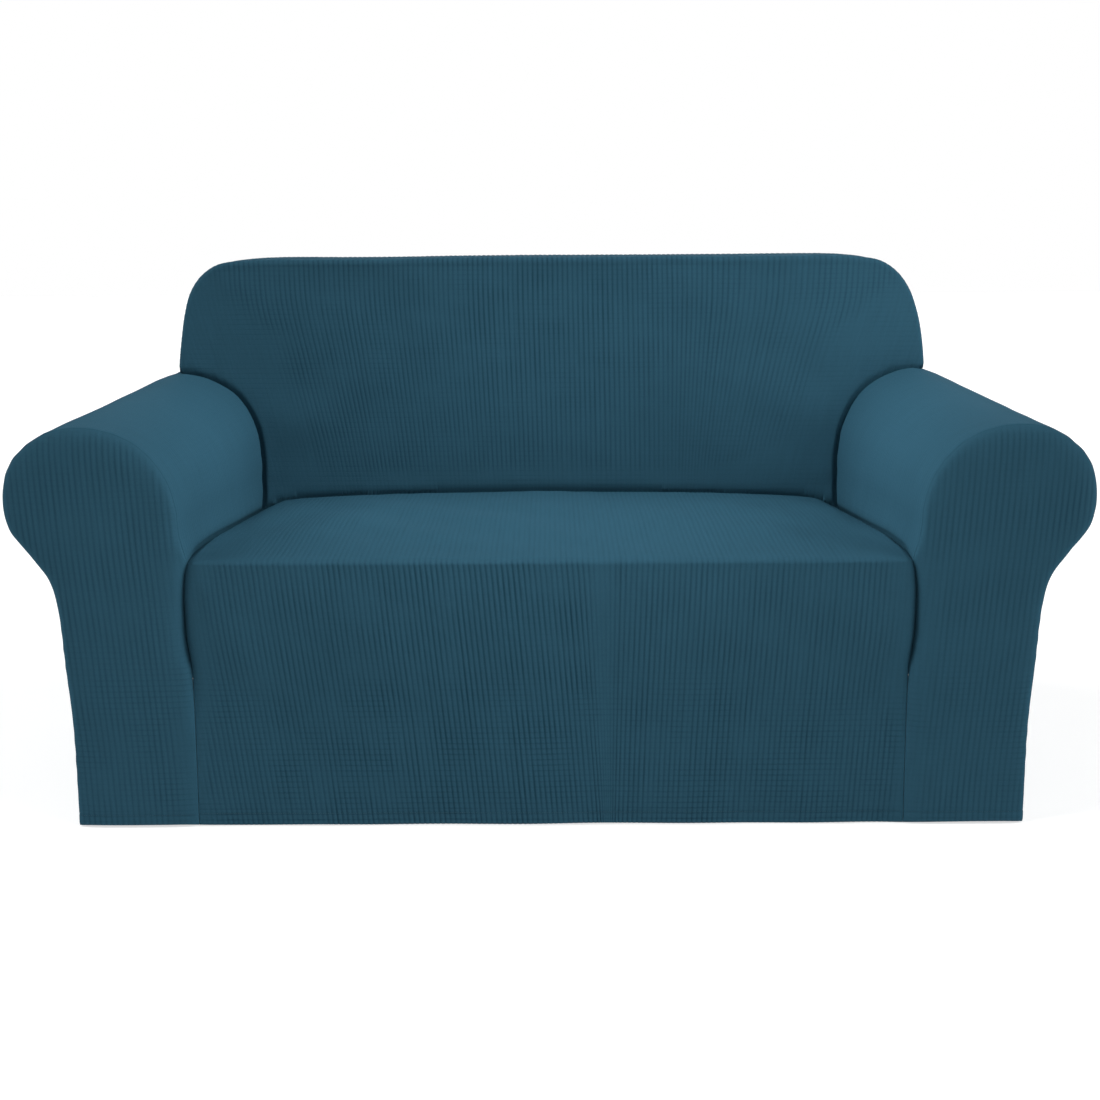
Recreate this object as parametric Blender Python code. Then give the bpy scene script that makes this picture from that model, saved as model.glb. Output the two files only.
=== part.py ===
"""Fitted stretch slipcover, two seats wide, with rolled arms.

Metres, +Z up, the front faces -Y, +X is the viewer's right, and the hem lies in the plane z = 0.
Seven cut panels are sewn edge to edge. Each is one sheet of cloth, laid out on its own flat
pattern (p, q) and carried from there onto the cover's form. Neighbours share the points of
their seam, mitred there, with a hair's breadth between them.
"""

import math

import bpy
import numpy as np
from mathutils import Matrix, Vector
from mathutils.geometry import delaunay_2d_cdt

# ---------------------------------------------------------------- sizes
CLOTH = 0.0020  # thickness of the knit with its ribs
SEAM_GAP = 0.0003  # left between two panels
DEPTH = 0.850  # seam of the arm fronts to the rear seam
SEAT_HEIGHT = 0.4175  # top of the seat at its front edge
SEAT_EDGE_RADIUS = 0.008
FACE_FOOT = 0.555  # how far back the backrest's face starts
FACE_FOOT_HEIGHT = 0.420
FACE_LEAN = 0.30  # run over rise of that face
FACE_CROWN = 0.012
BACK_ROUNDING = 0.018  # turn from the face to the top and the sides
BACK_ASKEW = 0.0045  # the cloth round the backrest has slid this far to the right, low down
REAR_INSET = 0.004  # the rear seam lies this far inside the backrest's outline
REAR_CROWN = 0.006
FRONT_CROWN = 0.010  # how far an arm front swells out of its seam
FRONT_CROWN_EDGE = 0.012
SKIRT_BULGE = 0.012
REAR_RISE_LEFT = 0.40  # share of the arm's rise that is left at the rear seam

# One arm seen from the front, from the seat over the roll and down to the hem.
ARM_SECTION = (
    # name, x, z
    ("crease", 0.5345, 0.4134),
    ("inner_low", 0.5436, 0.4550),
    ("inner_mid", 0.5462, 0.4950),
    ("inner_high", 0.5585, 0.5380),
    ("shoulder_in", 0.5870, 0.5780),
    ("shoulder", 0.6216, 0.6015),
    ("crest", 0.6720, 0.6140),
    ("shoulder_out", 0.7250, 0.6085),
    ("roll_high", 0.7670, 0.5830),
    ("roll_up", 0.7900, 0.5530),
    ("roll_widest", 0.8003, 0.5050),
    ("roll_low", 0.7935, 0.4630),
    ("roll_under", 0.7680, 0.4265),
    ("neck", 0.7412, 0.3860),
    ("side_high", 0.7318, 0.3450),
    ("side_mid", 0.7265, 0.2500),
    ("side_low", 0.7218, 0.1600),
    ("hem", 0.7232, 0.0000),
)

# The same arm where its inner half meets the backrest, and how late along the arm it gets there.
ARM_AT_BACK = (
    # name, x, z, power
    ("crease", 0.5228, 0.3840, 1.0),
    ("inner_low", 0.5226, 0.4300, 1.0),
    ("inner_mid", 0.5240, 0.4780, 1.1),
    ("inner_high", 0.5345, 0.5335, 1.3),
    ("shoulder_in", 0.5660, 0.5870, 1.5),
    ("shoulder", 0.6120, 0.6172, 1.6),
    ("crest", 0.6660, 0.6308, 1.6),
)

# Past the crest that seam runs back along the side of the backrest.
SEAM_BEHIND_CREST = (
    # name, x, y
    ("turn", 0.6790, 0.621),
    ("side_front", 0.6850, 0.632),
    ("side_mid", 0.6862, 0.720),
    ("rear", 0.6870, DEPTH),
)

# Height of the crease between the seat and an arm, along the depth.
SEAT_SIDE = (
    # name, share of the way back, z
    ("front", 0.000, 0.4134),
    ("swell", 0.130, 0.4205),
    ("swell_end", 0.260, 0.4190),
    ("mid", 0.460, 0.4100),
    ("rear_mid", 0.730, 0.3965),
    ("corner", 1.000, 0.3840),
)

# Height of the crease between the seat and the backrest, along the width.
SEAT_REAR = (
    # name, x, z
    ("middle", 0.000, 0.4175),
    ("quarter", 0.260, 0.4140),
    ("outer", 0.420, 0.4080),
    ("near_arm", 0.480, 0.4030),
    ("dip", 0.508, 0.3910),
    ("corner", 0.5228, 0.3840),
)

# Seam between the skirt and an arm front: a tuck beside the seat, flush below it.
SKIRT_SEAM = (
    # name, z, x, tuck
    ("seat", 0.4134, 0.5345, 0.0041),
    ("tuck_top", 0.3950, 0.5405, 0.0120),
    ("tuck_high", 0.3500, 0.5448, 0.0170),
    ("tuck_mid", 0.3100, 0.5452, 0.0170),
    ("tuck_low", 0.2750, 0.5424, 0.0130),
    ("tuck_end", 0.2450, 0.5375, 0.0060),
    ("flush", 0.2000, 0.5360, 0.0010),
    ("low", 0.1000, 0.5370, 0.0000),
    ("hem", 0.0000, 0.5390, 0.0000),
)

# The backrest seen from the front: one side and half of the top.
BACK_OUTLINE = (
    # name, x, z
    ("foot", 0.6870, 0.5600),
    ("arm", 0.6862, 0.6180),
    ("side_low", 0.6852, 0.6575),
    ("side_mid", 0.6820, 0.6960),
    ("side_high", 0.6765, 0.7327),
    ("corner_low", 0.6662, 0.7700),
    ("corner_mid", 0.6475, 0.8000),
    ("corner_high", 0.6160, 0.8225),
    ("top_end", 0.5700, 0.8308),
    ("top_quarter", 0.3000, 0.8322),
    ("middle", 0.0000, 0.8320),
)

# The arms differ a little, as stretched cloth does.
SIDES = (
    # name, sign, how much of the arm's rise by the backrest
    ("left", -1.0, 0.82),
    ("right", 1.0, 1.18),
)

COLOUR_FACE = (0.0190, 0.0595, 0.0915, 1.0)
COLOUR_TOP = (0.0290, 0.0860, 0.1230, 1.0)


# ---------------------------------------------------------------- curves
def columns(table, *fields):
    return [np.array([row[f] for row in table], float) for f in fields]


def spline(stations, values, at):
    """Smooth curve through the rows of a table, without overshoot between them."""
    x, y, at = np.asarray(stations), np.asarray(values), np.asarray(at, float)
    h, d = np.diff(x), np.diff(y) / np.diff(x)
    m = np.empty_like(y)
    m[0], m[-1] = d[0], d[-1]
    for i in range(1, len(x) - 1):
        if d[i - 1] * d[i] <= 0:
            m[i] = 0.0
        else:
            w1, w2 = 2 * h[i] + h[i - 1], h[i] + 2 * h[i - 1]
            m[i] = (w1 + w2) / (w1 / d[i - 1] + w2 / d[i])
    i = np.clip(np.searchsorted(x, at, side="right") - 1, 0, len(h) - 1)
    t = np.clip((at - x[i]) / h[i], 0.0, 1.0)
    a, b = 2 * t**3 - 3 * t**2 + 1, t**3 - 2 * t**2 + t
    c, e = -2 * t**3 + 3 * t**2, t**3 - t**2
    return a * y[i] + b * h[i] * m[i] + c * y[i + 1] + e * h[i] * m[i + 1]


def round_curve(points, steps=24):
    """Centripetal curve through the points, as a dense run of points."""
    p = np.asarray(points, float)
    p = np.vstack([2 * p[0] - p[1], p, 2 * p[-1] - p[-2]])
    out = []
    for a, b, c, d in zip(p[:-3], p[1:-2], p[2:-1], p[3:]):
        k0, k1, k2 = (max(np.linalg.norm(v) ** 0.5, 1e-6) for v in (b - a, c - b, d - c))
        m1 = (b - a) / k0 - (c - a) / (k0 + k1) + (c - b) / k1
        m2 = (c - b) / k1 - (d - b) / (k1 + k2) + (d - c) / k2
        m1, m2 = m1 * k1, m2 * k1
        for t in np.linspace(0, 1, steps, endpoint=False):
            out.append(
                (2 * t**3 - 3 * t**2 + 1) * b
                + (t**3 - 2 * t**2 + t) * m1
                + (3 * t**2 - 2 * t**3) * c
                + (t**3 - t**2) * m2
            )
    out.append(p[-2])
    return np.array(out)


def run_of(points):
    return np.concatenate([[0.0], np.cumsum(np.linalg.norm(np.diff(points, axis=0), axis=1))])


def along(points, run, at):
    return np.stack([np.interp(at, run, points[:, k]) for k in range(points.shape[1])], -1)


def spread(points, run, count, start, end, bend=0.055):
    """Stations from start to end along a curve, closer together where it turns."""
    s = np.linspace(start, end, 600)
    q = along(points, run, s)
    t = np.gradient(q, axis=0)
    t /= np.maximum(np.linalg.norm(t, axis=1, keepdims=True), 1e-9)
    turn = np.linalg.norm(np.gradient(t, axis=0), axis=1)
    w = np.linspace(0, 1, 600) * (end - start) + bend * np.cumsum(turn)
    return np.interp(np.linspace(w[0], w[-1], count), w, s)


def smoothstep(t):
    t = np.clip(t, 0.0, 1.0)
    return t * t * (3 - 2 * t)


# ---------------------------------------------------------------- the form
SECTION = round_curve([row[1:] for row in ARM_SECTION])
SECTION_RUN = run_of(SECTION)
SECTION_LENGTH = SECTION_RUN[-1]
STATION = {row[0]: SECTION_RUN[24 * i] for i, row in enumerate(ARM_SECTION)}

half = [(-x, z) for _, x, z in BACK_OUTLINE]
OUTLINE = round_curve(half + [(-x, z) for x, z in reversed(half[:-1])])
OUTLINE[:, 0] += BACK_ASKEW * smoothstep((0.83 - OUTLINE[:, 1]) / 0.15)
OUTLINE_RUN = run_of(OUTLINE)
TOP_MIDDLE = len(OUTLINE) // 2
_t = np.gradient(OUTLINE, axis=0)
_t /= np.linalg.norm(_t, axis=1, keepdims=True)
OUTLINE_OUT = np.stack([-_t[:, 1], _t[:, 0]], -1)
INSET = OUTLINE - BACK_ROUNDING * OUTLINE_OUT


def face_depth(x, z):
    """The backrest's front face."""
    rise = np.clip((z - FACE_FOOT_HEIGHT) / (0.83 - FACE_FOOT_HEIGHT), 0.0, 1.0)
    crown = np.sin(math.pi * rise) * (1 - np.clip(np.abs(x) / 0.72, 0, 1) ** 4)
    return FACE_FOOT + FACE_LEAN * (z - FACE_FOOT_HEIGHT) - FACE_CROWN * crown


def nearest_inset(x, z):
    """Nearest place on the inset outline: its point, outward direction and the signed distance."""
    x, z = np.atleast_1d(x), np.atleast_1d(z)
    a, b = INSET[:-1], INSET[1:]
    ab = b - a
    length2 = (ab**2).sum(1)
    foot, out, away = np.empty((len(x), 2)), np.empty((len(x), 2)), np.empty(len(x))
    for lo in range(0, len(x), 4000):
        p = np.stack([x[lo : lo + 4000], z[lo : lo + 4000]], -1)
        t = np.clip(((p[:, None] - a) * ab).sum(2) / length2, 0, 1)
        d2 = ((p[:, None] - (a + t[..., None] * ab)) ** 2).sum(2)
        i = d2.argmin(1)
        r = np.arange(len(p))
        tt = t[r, i][:, None]
        here = a[i] + tt * ab[i]
        n = np.stack([-ab[i][:, 1], ab[i][:, 0]], -1)
        n /= np.linalg.norm(n, axis=1, keepdims=True)
        gap = p - here
        far = np.linalg.norm(gap, axis=1)
        side = np.where((gap * n).sum(1) < 0, -1.0, 1.0)
        clear = far > 1e-7
        n[clear] = gap[clear] * (side[clear] / far[clear])[:, None]
        foot[lo : lo + 4000], out[lo : lo + 4000] = here, n
        away[lo : lo + 4000] = far * side
    return foot, out, away


def backrest_depth(x, z):
    """Depth at which a line along Y first meets the backrest, for points inside its outline."""
    foot, _, away = nearest_inset(x, z)
    away = np.clip(away, 0.0, BACK_ROUNDING)
    turn = BACK_ROUNDING - np.sqrt(BACK_ROUNDING**2 - away**2)
    inside = away <= 0
    base = np.where(inside, face_depth(x, z), face_depth(foot[:, 0], foot[:, 1]))
    return base + turn


QUARTER = BACK_ROUNDING * math.pi / 2


def inside_back_form(p, q):
    """Flat pattern to form: the face, its turn, then the strip back to the rear seam."""
    foot, out, away = nearest_inset(p, q)
    base = face_depth(foot[:, 0], foot[:, 1])
    phi = np.clip(away / BACK_ROUNDING, 0.0, math.pi / 2)
    beyond = np.maximum(away - QUARTER, 0.0)
    y = base + BACK_ROUNDING * (1 - np.cos(phi)) + beyond
    left = np.clip((y - (DEPTH - 0.030)) / 0.030, 0.0, 1.2)
    reach = BACK_ROUNDING * np.sin(phi) - REAR_INSET * left**2
    x, z = foot[:, 0] + out[:, 0] * reach, foot[:, 1] + out[:, 1] * reach
    flat = away <= 0
    return np.stack(
        [np.where(flat, p, x), np.where(flat, face_depth(p, q), y), np.where(flat, q, z)], -1
    )


def inside_back_pattern(points):
    """Form to flat pattern, the other way."""
    foot, out, away = nearest_inset(points[:, 0], points[:, 2])
    base = face_depth(foot[:, 0], foot[:, 1])
    deep = points[:, 1] - base
    phi = np.arctan2(np.maximum(away, 0.0), np.maximum(BACK_ROUNDING - deep, 1e-6))
    reach = np.where(deep < BACK_ROUNDING, phi * BACK_ROUNDING, QUARTER + deep - BACK_ROUNDING)
    on_face = away <= 0
    flat = foot + out * reach[:, None]
    return np.where(on_face[:, None], points[:, [0, 2]], flat)


AT_BACK_RUN = np.array([STATION[row[0]] for row in ARM_AT_BACK])
AT_BACK_X, AT_BACK_Z, AT_BACK_POWER = columns(ARM_AT_BACK, 1, 2, 3)
FRONT_THERE = along(SECTION, SECTION_RUN, AT_BACK_RUN)
CREST = STATION["crest"]


def arm_meets_back(s):
    """How deep the arm runs at station s before it meets the backrest's face."""
    s = np.minimum(s, CREST)
    x = spline(AT_BACK_RUN, AT_BACK_X, s)
    z = spline(AT_BACK_RUN, AT_BACK_Z, s)
    return backrest_depth(x, z)


MEET_STATIONS = np.linspace(0.0, CREST, 60)
MEET_DEPTHS = arm_meets_back(MEET_STATIONS)


def arm_form(y, s, rise):
    """Depth y and station s along the section, on the arm at +X."""
    base = along(SECTION, SECTION_RUN, s)
    inner = np.minimum(s, CREST)
    dx = spline(AT_BACK_RUN, AT_BACK_X - FRONT_THERE[:, 0], inner)
    dz = spline(AT_BACK_RUN, AT_BACK_Z - FRONT_THERE[:, 1], inner)
    past = np.clip((s - CREST) / 0.130, 0.0, 1.0)
    fade = (1 - past) ** 2
    meet = np.interp(inner, MEET_STATIONS, MEET_DEPTHS)
    share = np.clip(y / meet, 0.0, 1.0)
    grown = share ** spline(AT_BACK_RUN, AT_BACK_POWER, inner)
    beyond = smoothstep((y - meet) / (DEPTH - meet))
    grown = grown * (1 - (1 - REAR_RISE_LEFT) * beyond)
    lift = 1 + (rise - 1) * smoothstep((inner - STATION["inner_mid"]) / 0.10)
    x = base[:, 0] + grown * fade * dx
    z = base[:, 1] + grown * fade * dz * lift
    seat = spline(*columns(SEAT_SIDE, 1, 2), share)
    straight = SEAT_SIDE[0][2] + share * (SEAT_SIDE[-1][2] - SEAT_SIDE[0][2])
    z = z + (seat - straight) * np.exp(-s / 0.035)
    y = y + SKIRT_SEAM[0][3] * np.exp(-s / 0.020) * (1 - share)
    return np.stack([x, y, z], -1)


def seat_rise(x, y):
    """Height of the seat's cloth."""
    back = FACE_FOOT
    share = np.clip(y / back, 0.0, 1.0)
    rear = spline(*columns(SEAT_REAR, 1, 2), np.minimum(np.abs(x), SEAT_REAR[-1][1]))
    side = spline(*columns(SEAT_SIDE, 1, 2), share)
    half = SKIRT_SEAM[0][2] + share * (SEAT_REAR[-1][1] - SKIRT_SEAM[0][2])
    middle = SEAT_HEIGHT + 0.006 * np.sin(math.pi * share)
    plain = middle + (rear - SEAT_REAR[0][2]) * share**2.2
    edge = np.exp(-np.maximum(half - np.abs(x), 0) / 0.030)
    corner = SEAT_REAR[-1][2] - SEAT_REAR[0][2]
    at_side = middle + corner * share**2.2
    return plain + (side - at_side) * edge


TURN_START = SEAT_HEIGHT - SEAT_EDGE_RADIUS
TURN_LENGTH = SEAT_EDGE_RADIUS * math.pi / 2


def skirt_out(x, z):
    """How far the skirt's cloth stands in front of the arm fronts' seam, negative in the tuck."""
    zz, xx, tuck = columns(SKIRT_SEAM[::-1], 1, 2, 3)
    zc = np.clip(z, 0, zz[-1])
    side = spline(zz, xx, zc)
    depth = spline(zz, tuck, zc)
    inward = np.maximum(side - np.abs(x), 0)
    bulge = smoothstep((z - 0.13) / 0.20) * (1 - 0.35 * smoothstep((z - 0.35) / 0.07))
    bulge = SKIRT_BULGE * bulge * (1 - np.exp(-inward / 0.050))
    return bulge - depth * np.exp(-((inward / 0.016) ** 1.4))


def seat_skirt_form(p, q):
    """q runs from the hem up the skirt, round the front edge and back over the seat."""
    turned = np.clip((q - TURN_START) / SEAT_EDGE_RADIUS, 0.0, math.pi / 2)
    back = np.maximum(q - TURN_START - TURN_LENGTH, 0.0)
    y = SEAT_EDGE_RADIUS * (1 - np.cos(turned)) + back
    z = np.minimum(q, TURN_START) + SEAT_EDGE_RADIUS * np.sin(turned)
    front = np.cos(turned)
    top = np.sin(turned)
    out = skirt_out(p, np.minimum(z, TURN_START))
    y = y - out * front
    z = z + (seat_rise(p, y) - SEAT_HEIGHT) * top
    return np.stack([p, y, z], -1)


def seat_q(y):
    return TURN_START + TURN_LENGTH + (y - SEAT_EDGE_RADIUS)


def distance_to(line, x, z):
    """Distance from points to a run of points in a plane."""
    a, b = line[:-1], line[1:]
    ab = b - a
    p = np.stack([x, z], -1)
    best = np.full(len(p), 9.0)
    for lo in range(0, len(p), 4000):
        q = p[lo : lo + 4000]
        t = np.clip(((q[:, None] - a) * ab).sum(2) / (ab**2).sum(1), 0, 1)
        d = np.sqrt(((q[:, None] - (a + t[..., None] * ab)) ** 2).sum(2))
        best[lo : lo + 4000] = d.min(1)
    return best


def arm_front_form(p, q):
    """On the arm at +X: flat, swelling softly out of its seams, drawn in along the tuck."""
    zz, xx, tuck = columns(SKIRT_SEAM[::-1], 1, 2, 3)
    to_roll = distance_to(SECTION, p, q)
    zc = np.clip(q, 0, zz[-1])
    to_skirt = np.maximum(p - spline(zz, xx, zc), 0) + np.maximum(q - zz[-1], 0)
    depth = spline(zz, tuck, zc)
    low = np.exp(-to_skirt / 0.014)
    crown = FRONT_CROWN * (1 - np.exp(-to_roll / FRONT_CROWN_EDGE))
    calm = 1 - 0.5 * smoothstep((0.22 - q) / 0.15)
    crown = crown * (1 - np.exp(-to_skirt / FRONT_CROWN_EDGE)) * calm
    return np.stack([p, depth * low - crown, q], -1)


def outside_back_form(p, q):
    edge = np.minimum(0.73 - np.abs(p), 0.83 - q)
    crown = REAR_CROWN * smoothstep((edge - 0.0) / 0.10) * (0.5 + 0.5 * smoothstep(q / 0.25))
    return np.stack([p, DEPTH + crown, q], -1)


# ---------------------------------------------------------------- panels
def lattice(step_p, step_q, lo, hi):
    p = np.arange(lo[0] + step_p / 2, hi[0], step_p)
    q = np.arange(lo[1] + step_q / 2, hi[1], step_q)
    return np.array([(a, b) for b in q for a in p])


def within(loop, points):
    """True for the points that lie inside a closed loop."""
    a, b = loop, np.roll(loop, -1, 0)
    x, y = points[:, 0][:, None], points[:, 1][:, None]
    cross = (a[:, 1] > y) != (b[:, 1] > y)
    with np.errstate(divide="ignore", invalid="ignore"):
        at = a[:, 0] + (y - a[:, 1]) * (b[:, 0] - a[:, 0]) / (b[:, 1] - a[:, 1])
    return (cross & (x < at)).sum(1) % 2 == 1


def inside(loop, points, margin):
    """The points that lie inside a closed loop, and at least margin away from it."""
    near = distance_to(np.vstack([loop, loop[:1]]), points[:, 0], points[:, 1])
    return points[within(loop, points) & (near > margin)]


def outward(form, p, q, guide):
    """Unit normals of a form at pattern points, on the side that guide points to."""
    e = 1e-4
    du = form(p + e, q) - form(p - e, q)
    dv = form(p, q + e) - form(p, q - e)
    n = np.cross(du, dv)
    n /= np.maximum(np.linalg.norm(n, axis=1, keepdims=True), 1e-12)
    return n * guide


def inset_toward(loop, by):
    """Each loop point moved inward in the pattern, so that normals are read beside the seam."""
    nxt, prv = np.roll(loop, -1, 0), np.roll(loop, 1, 0)
    t = nxt - prv
    t /= np.maximum(np.linalg.norm(t, axis=1, keepdims=True), 1e-9)
    area = 0.5 * np.sum(loop[:, 0] * nxt[:, 1] - nxt[:, 0] * loop[:, 1])
    m = np.stack([-t[:, 1], t[:, 0]], -1) * (1 if area > 0 else -1)
    return loop + by * m


class Panel:
    """Outline: runs of (seam name, pattern points, places), in order round the sheet."""

    def __init__(self, name, form, guide, colour):
        self.name, self.form, self.guide, self.colour = name, form, guide, colour
        self.flat, self.place, self.key = [], [], []

    def edge(self, seam, flat, place):
        """Adds a run of the outline. Its last point is left to the next run."""
        for i in range(len(place) - 1):
            self.flat.append(flat[i])
            self.place.append(place[i])
            self.key.append(seam)

    def close(self, points, margin):
        """Ends the outline, and keeps the points that lie well inside it."""
        self.flat, self.place = np.array(self.flat), np.array(self.place)
        self.inner = inside(self.flat, points, margin)
        beside = inset_toward(self.flat, 0.004)
        self.edge_out = outward(self.form, beside[:, 0], beside[:, 1], self.guide)


def spot(point):
    return tuple(int(round(c * 1e6)) for c in point)


def build_panel(panel, normals_at):
    """One closed sheet: outer face, inner face a cloth's thickness below, and its rim."""
    loop, place, count = panel.flat, panel.place.copy(), len(panel.flat)
    points = [Vector(v) for v in loop] + [Vector(v) for v in panel.inner]
    found = delaunay_2d_cdt(points, [], [list(range(count))], 1, 1e-9, True)
    verts, faces, origin = found[0], found[2], found[3]
    index = [min(o) for o in origin]
    flats = np.array([tuple(v) for v in verts])
    outer = panel.form(flats[:, 0], flats[:, 1])
    normal = outward(panel.form, flats[:, 0], flats[:, 1], panel.guide)
    inner = outer - CLOTH * normal
    prev_place, next_place = np.roll(place, 1, 0), np.roll(place, -1, 0)
    area = 0.5 * np.sum(loop[:, 0] * np.roll(loop[:, 1], -1) - np.roll(loop[:, 0], -1) * loop[:, 1])
    turn = panel.guide * (1 if area > 0 else -1)
    for v, i in enumerate(index):
        if i >= count:
            continue
        here = place[i]
        shared = normals_at[spot(here)]
        n_own = panel.edge_out[i]
        hem = here[2] < 1e-6
        stack = np.array(shared)
        if hem:
            stack[:, 2] = 0
            stack /= np.linalg.norm(stack, axis=1, keepdims=True)
        if len(stack) == 1:
            down = -CLOTH * stack[0]
        elif len(stack) == 2:
            down = -CLOTH * (stack[0] + stack[1]) / max(1 + stack[0] @ stack[1], 0.5)
        else:
            down = np.linalg.lstsq(stack, -CLOTH * np.ones(len(stack)), rcond=None)[0]
            size = np.linalg.norm(down)
            down *= min(1.0, 2.2 * CLOTH / size)
        pull = np.zeros(3)
        for seam, a, b in (
            (panel.key[i - 1], prev_place[i], here),
            (panel.key[i], here, next_place[i]),
        ):
            if seam == "hem":
                continue
            t = (b - a) / np.linalg.norm(b - a)
            m = np.cross(n_own, t) * turn
            m /= np.linalg.norm(m)
            if pull @ m < 0.9 * SEAM_GAP / 2:
                pull = pull + m * (SEAM_GAP / 2 - max(pull @ m, 0.0))
        pull *= 1.35
        if hem:
            pull[2] = 0
        outer[v] = here + pull
        inner[v] = here + pull + down
        if hem:
            outer[v][2] = inner[v][2] = 0.0
    n = len(outer)
    tris = [tuple(f) for f in faces]
    middles = np.array([flats[list(t)].mean(0) for t in tris])
    tris = [t for t, keep in zip(tris, within(loop, middles)) if keep]
    if panel.guide < 0:
        tris = [t[::-1] for t in tris]
    seen = {}
    for t in tris:
        for a, b in zip(t, t[1:] + t[:1]):
            seen[(a, b)] = True
    polys = list(tris) + [tuple(n + v for v in reversed(t)) for t in tris]
    for a, b in seen:
        if (b, a) in seen:
            continue
        # both panels beside a seam cut the rim's quads along the same diagonal
        if spot(place[index[a]]) < spot(place[index[b]]):
            polys += [(b, a, n + a), (b, n + a, n + b)]
        else:
            polys += [(b, a, n + b), (a, n + a, n + b)]
    mesh = bpy.data.meshes.new(panel.name)
    mesh.from_pydata(np.vstack([outer, inner]).tolist(), [], polys)
    mesh.validate()
    mesh.update()
    mesh.shade_smooth()
    mesh.set_sharp_from_angle(angle=math.radians(50))
    return mesh


def cloth_material(name, colour):
    mat = bpy.data.materials.new(name)
    mat.use_nodes = True
    bsdf = mat.node_tree.nodes["Principled BSDF"]
    bsdf.inputs["Base Color"].default_value = colour
    bsdf.inputs["Roughness"].default_value = 0.88
    bsdf.inputs["Metallic"].default_value = 0.0
    bsdf.inputs["Sheen Weight"].default_value = 0.25
    return mat


def seams():
    """Places of every seam, shared by the two panels beside it, as {name: (places, extra)}."""
    found = {}
    look = np.linspace(CREST, STATION["roll_high"], 80)
    xs = along(SECTION, SECTION_RUN, look)[:, 0]
    for side, sign, rise in SIDES:
        flip = np.array([sign, 1.0, 1.0])
        s_out = np.interp([row[1] + sign * BACK_ASKEW for row in SEAM_BEHIND_CREST], xs, look)
        rear_station = s_out[-1]

        def form(y, s, rise=rise, flip=flip):
            return arm_form(y, s, rise) * flip

        s_front = spread(SECTION, SECTION_RUN, 40, 0.0, SECTION_LENGTH)
        y_front = np.zeros_like(s_front)
        found["front_" + side] = (form(y_front, s_front), np.stack([y_front, s_front], -1))
        s_rear = s_front[s_front > rear_station + 0.012]
        s_rear = np.concatenate([[rear_station], s_rear])
        y_rear = np.full_like(s_rear, DEPTH)
        found["rear_" + side] = (form(y_rear, s_rear), np.stack([y_rear, s_rear], -1))
        s_in = np.concatenate([s_front[s_front < CREST - 0.012], [CREST]])
        y_in = np.interp(s_in, MEET_STATIONS, MEET_DEPTHS)
        y_out = np.array([row[2] for row in SEAM_BEHIND_CREST])
        s_all, y_all = np.concatenate([s_in, s_out]), np.concatenate([y_in, y_out])
        found["back_" + side] = (form(y_all, s_all), np.stack([y_all, s_all], -1))
        y_seat = np.linspace(0.0, y_in[0], 10)
        found["seat_" + side] = (form(y_seat, 0 * y_seat), np.stack([y_seat, 0 * y_seat], -1))
        zz, xx, tuck = columns(SKIRT_SEAM[::-1], 1, 2, 3)
        z = np.array([0.0, 0.06, 0.12, 0.17, 0.21, 0.245, 0.275, 0.31, 0.35, 0.38, zz[-1]])
        places = np.stack([sign * spline(zz, xx, z), spline(zz, tuck, z), z], -1)
        found["skirt_" + side] = (places, z)
        found["skirt_" + side][0][-1] = found["front_" + side][0][0]
    corner = found["back_left"][0][0], found["back_right"][0][0]
    x = np.concatenate([[-0.505, -0.47], np.linspace(-0.42, 0.42, 13), [0.47, 0.505]])
    z = spline(*columns(SEAT_REAR, 1, 2), np.abs(x))
    y = backrest_depth(x, z)
    middle = np.stack([x, y, z], -1)
    found["seat_back"] = (np.vstack([corner[0], middle, corner[1]]), None)
    ends = found["rear_left"][0][0], found["rear_right"][0][0]
    up, down = slice(0, TOP_MIDDLE), slice(None, TOP_MIDDLE, -1)
    run_from = np.interp(ends[0][2], OUTLINE[up, 1], OUTLINE_RUN[up])
    run_to = np.interp(ends[1][2], OUTLINE[down, 1], OUTLINE_RUN[down])
    run = spread(OUTLINE, OUTLINE_RUN, 41, run_from, run_to, 0.30)
    at = along(OUTLINE, OUTLINE_RUN, run)
    out = along(OUTLINE_OUT, OUTLINE_RUN, run)
    at = at - REAR_INSET * out
    top = np.stack([at[:, 0], np.full(len(at), DEPTH), at[:, 1]], -1)
    top[0], top[-1] = ends
    found["top"] = (top, run)
    return found


def hem_run(a, b, count):
    return np.linspace(a, b, count)


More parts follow.
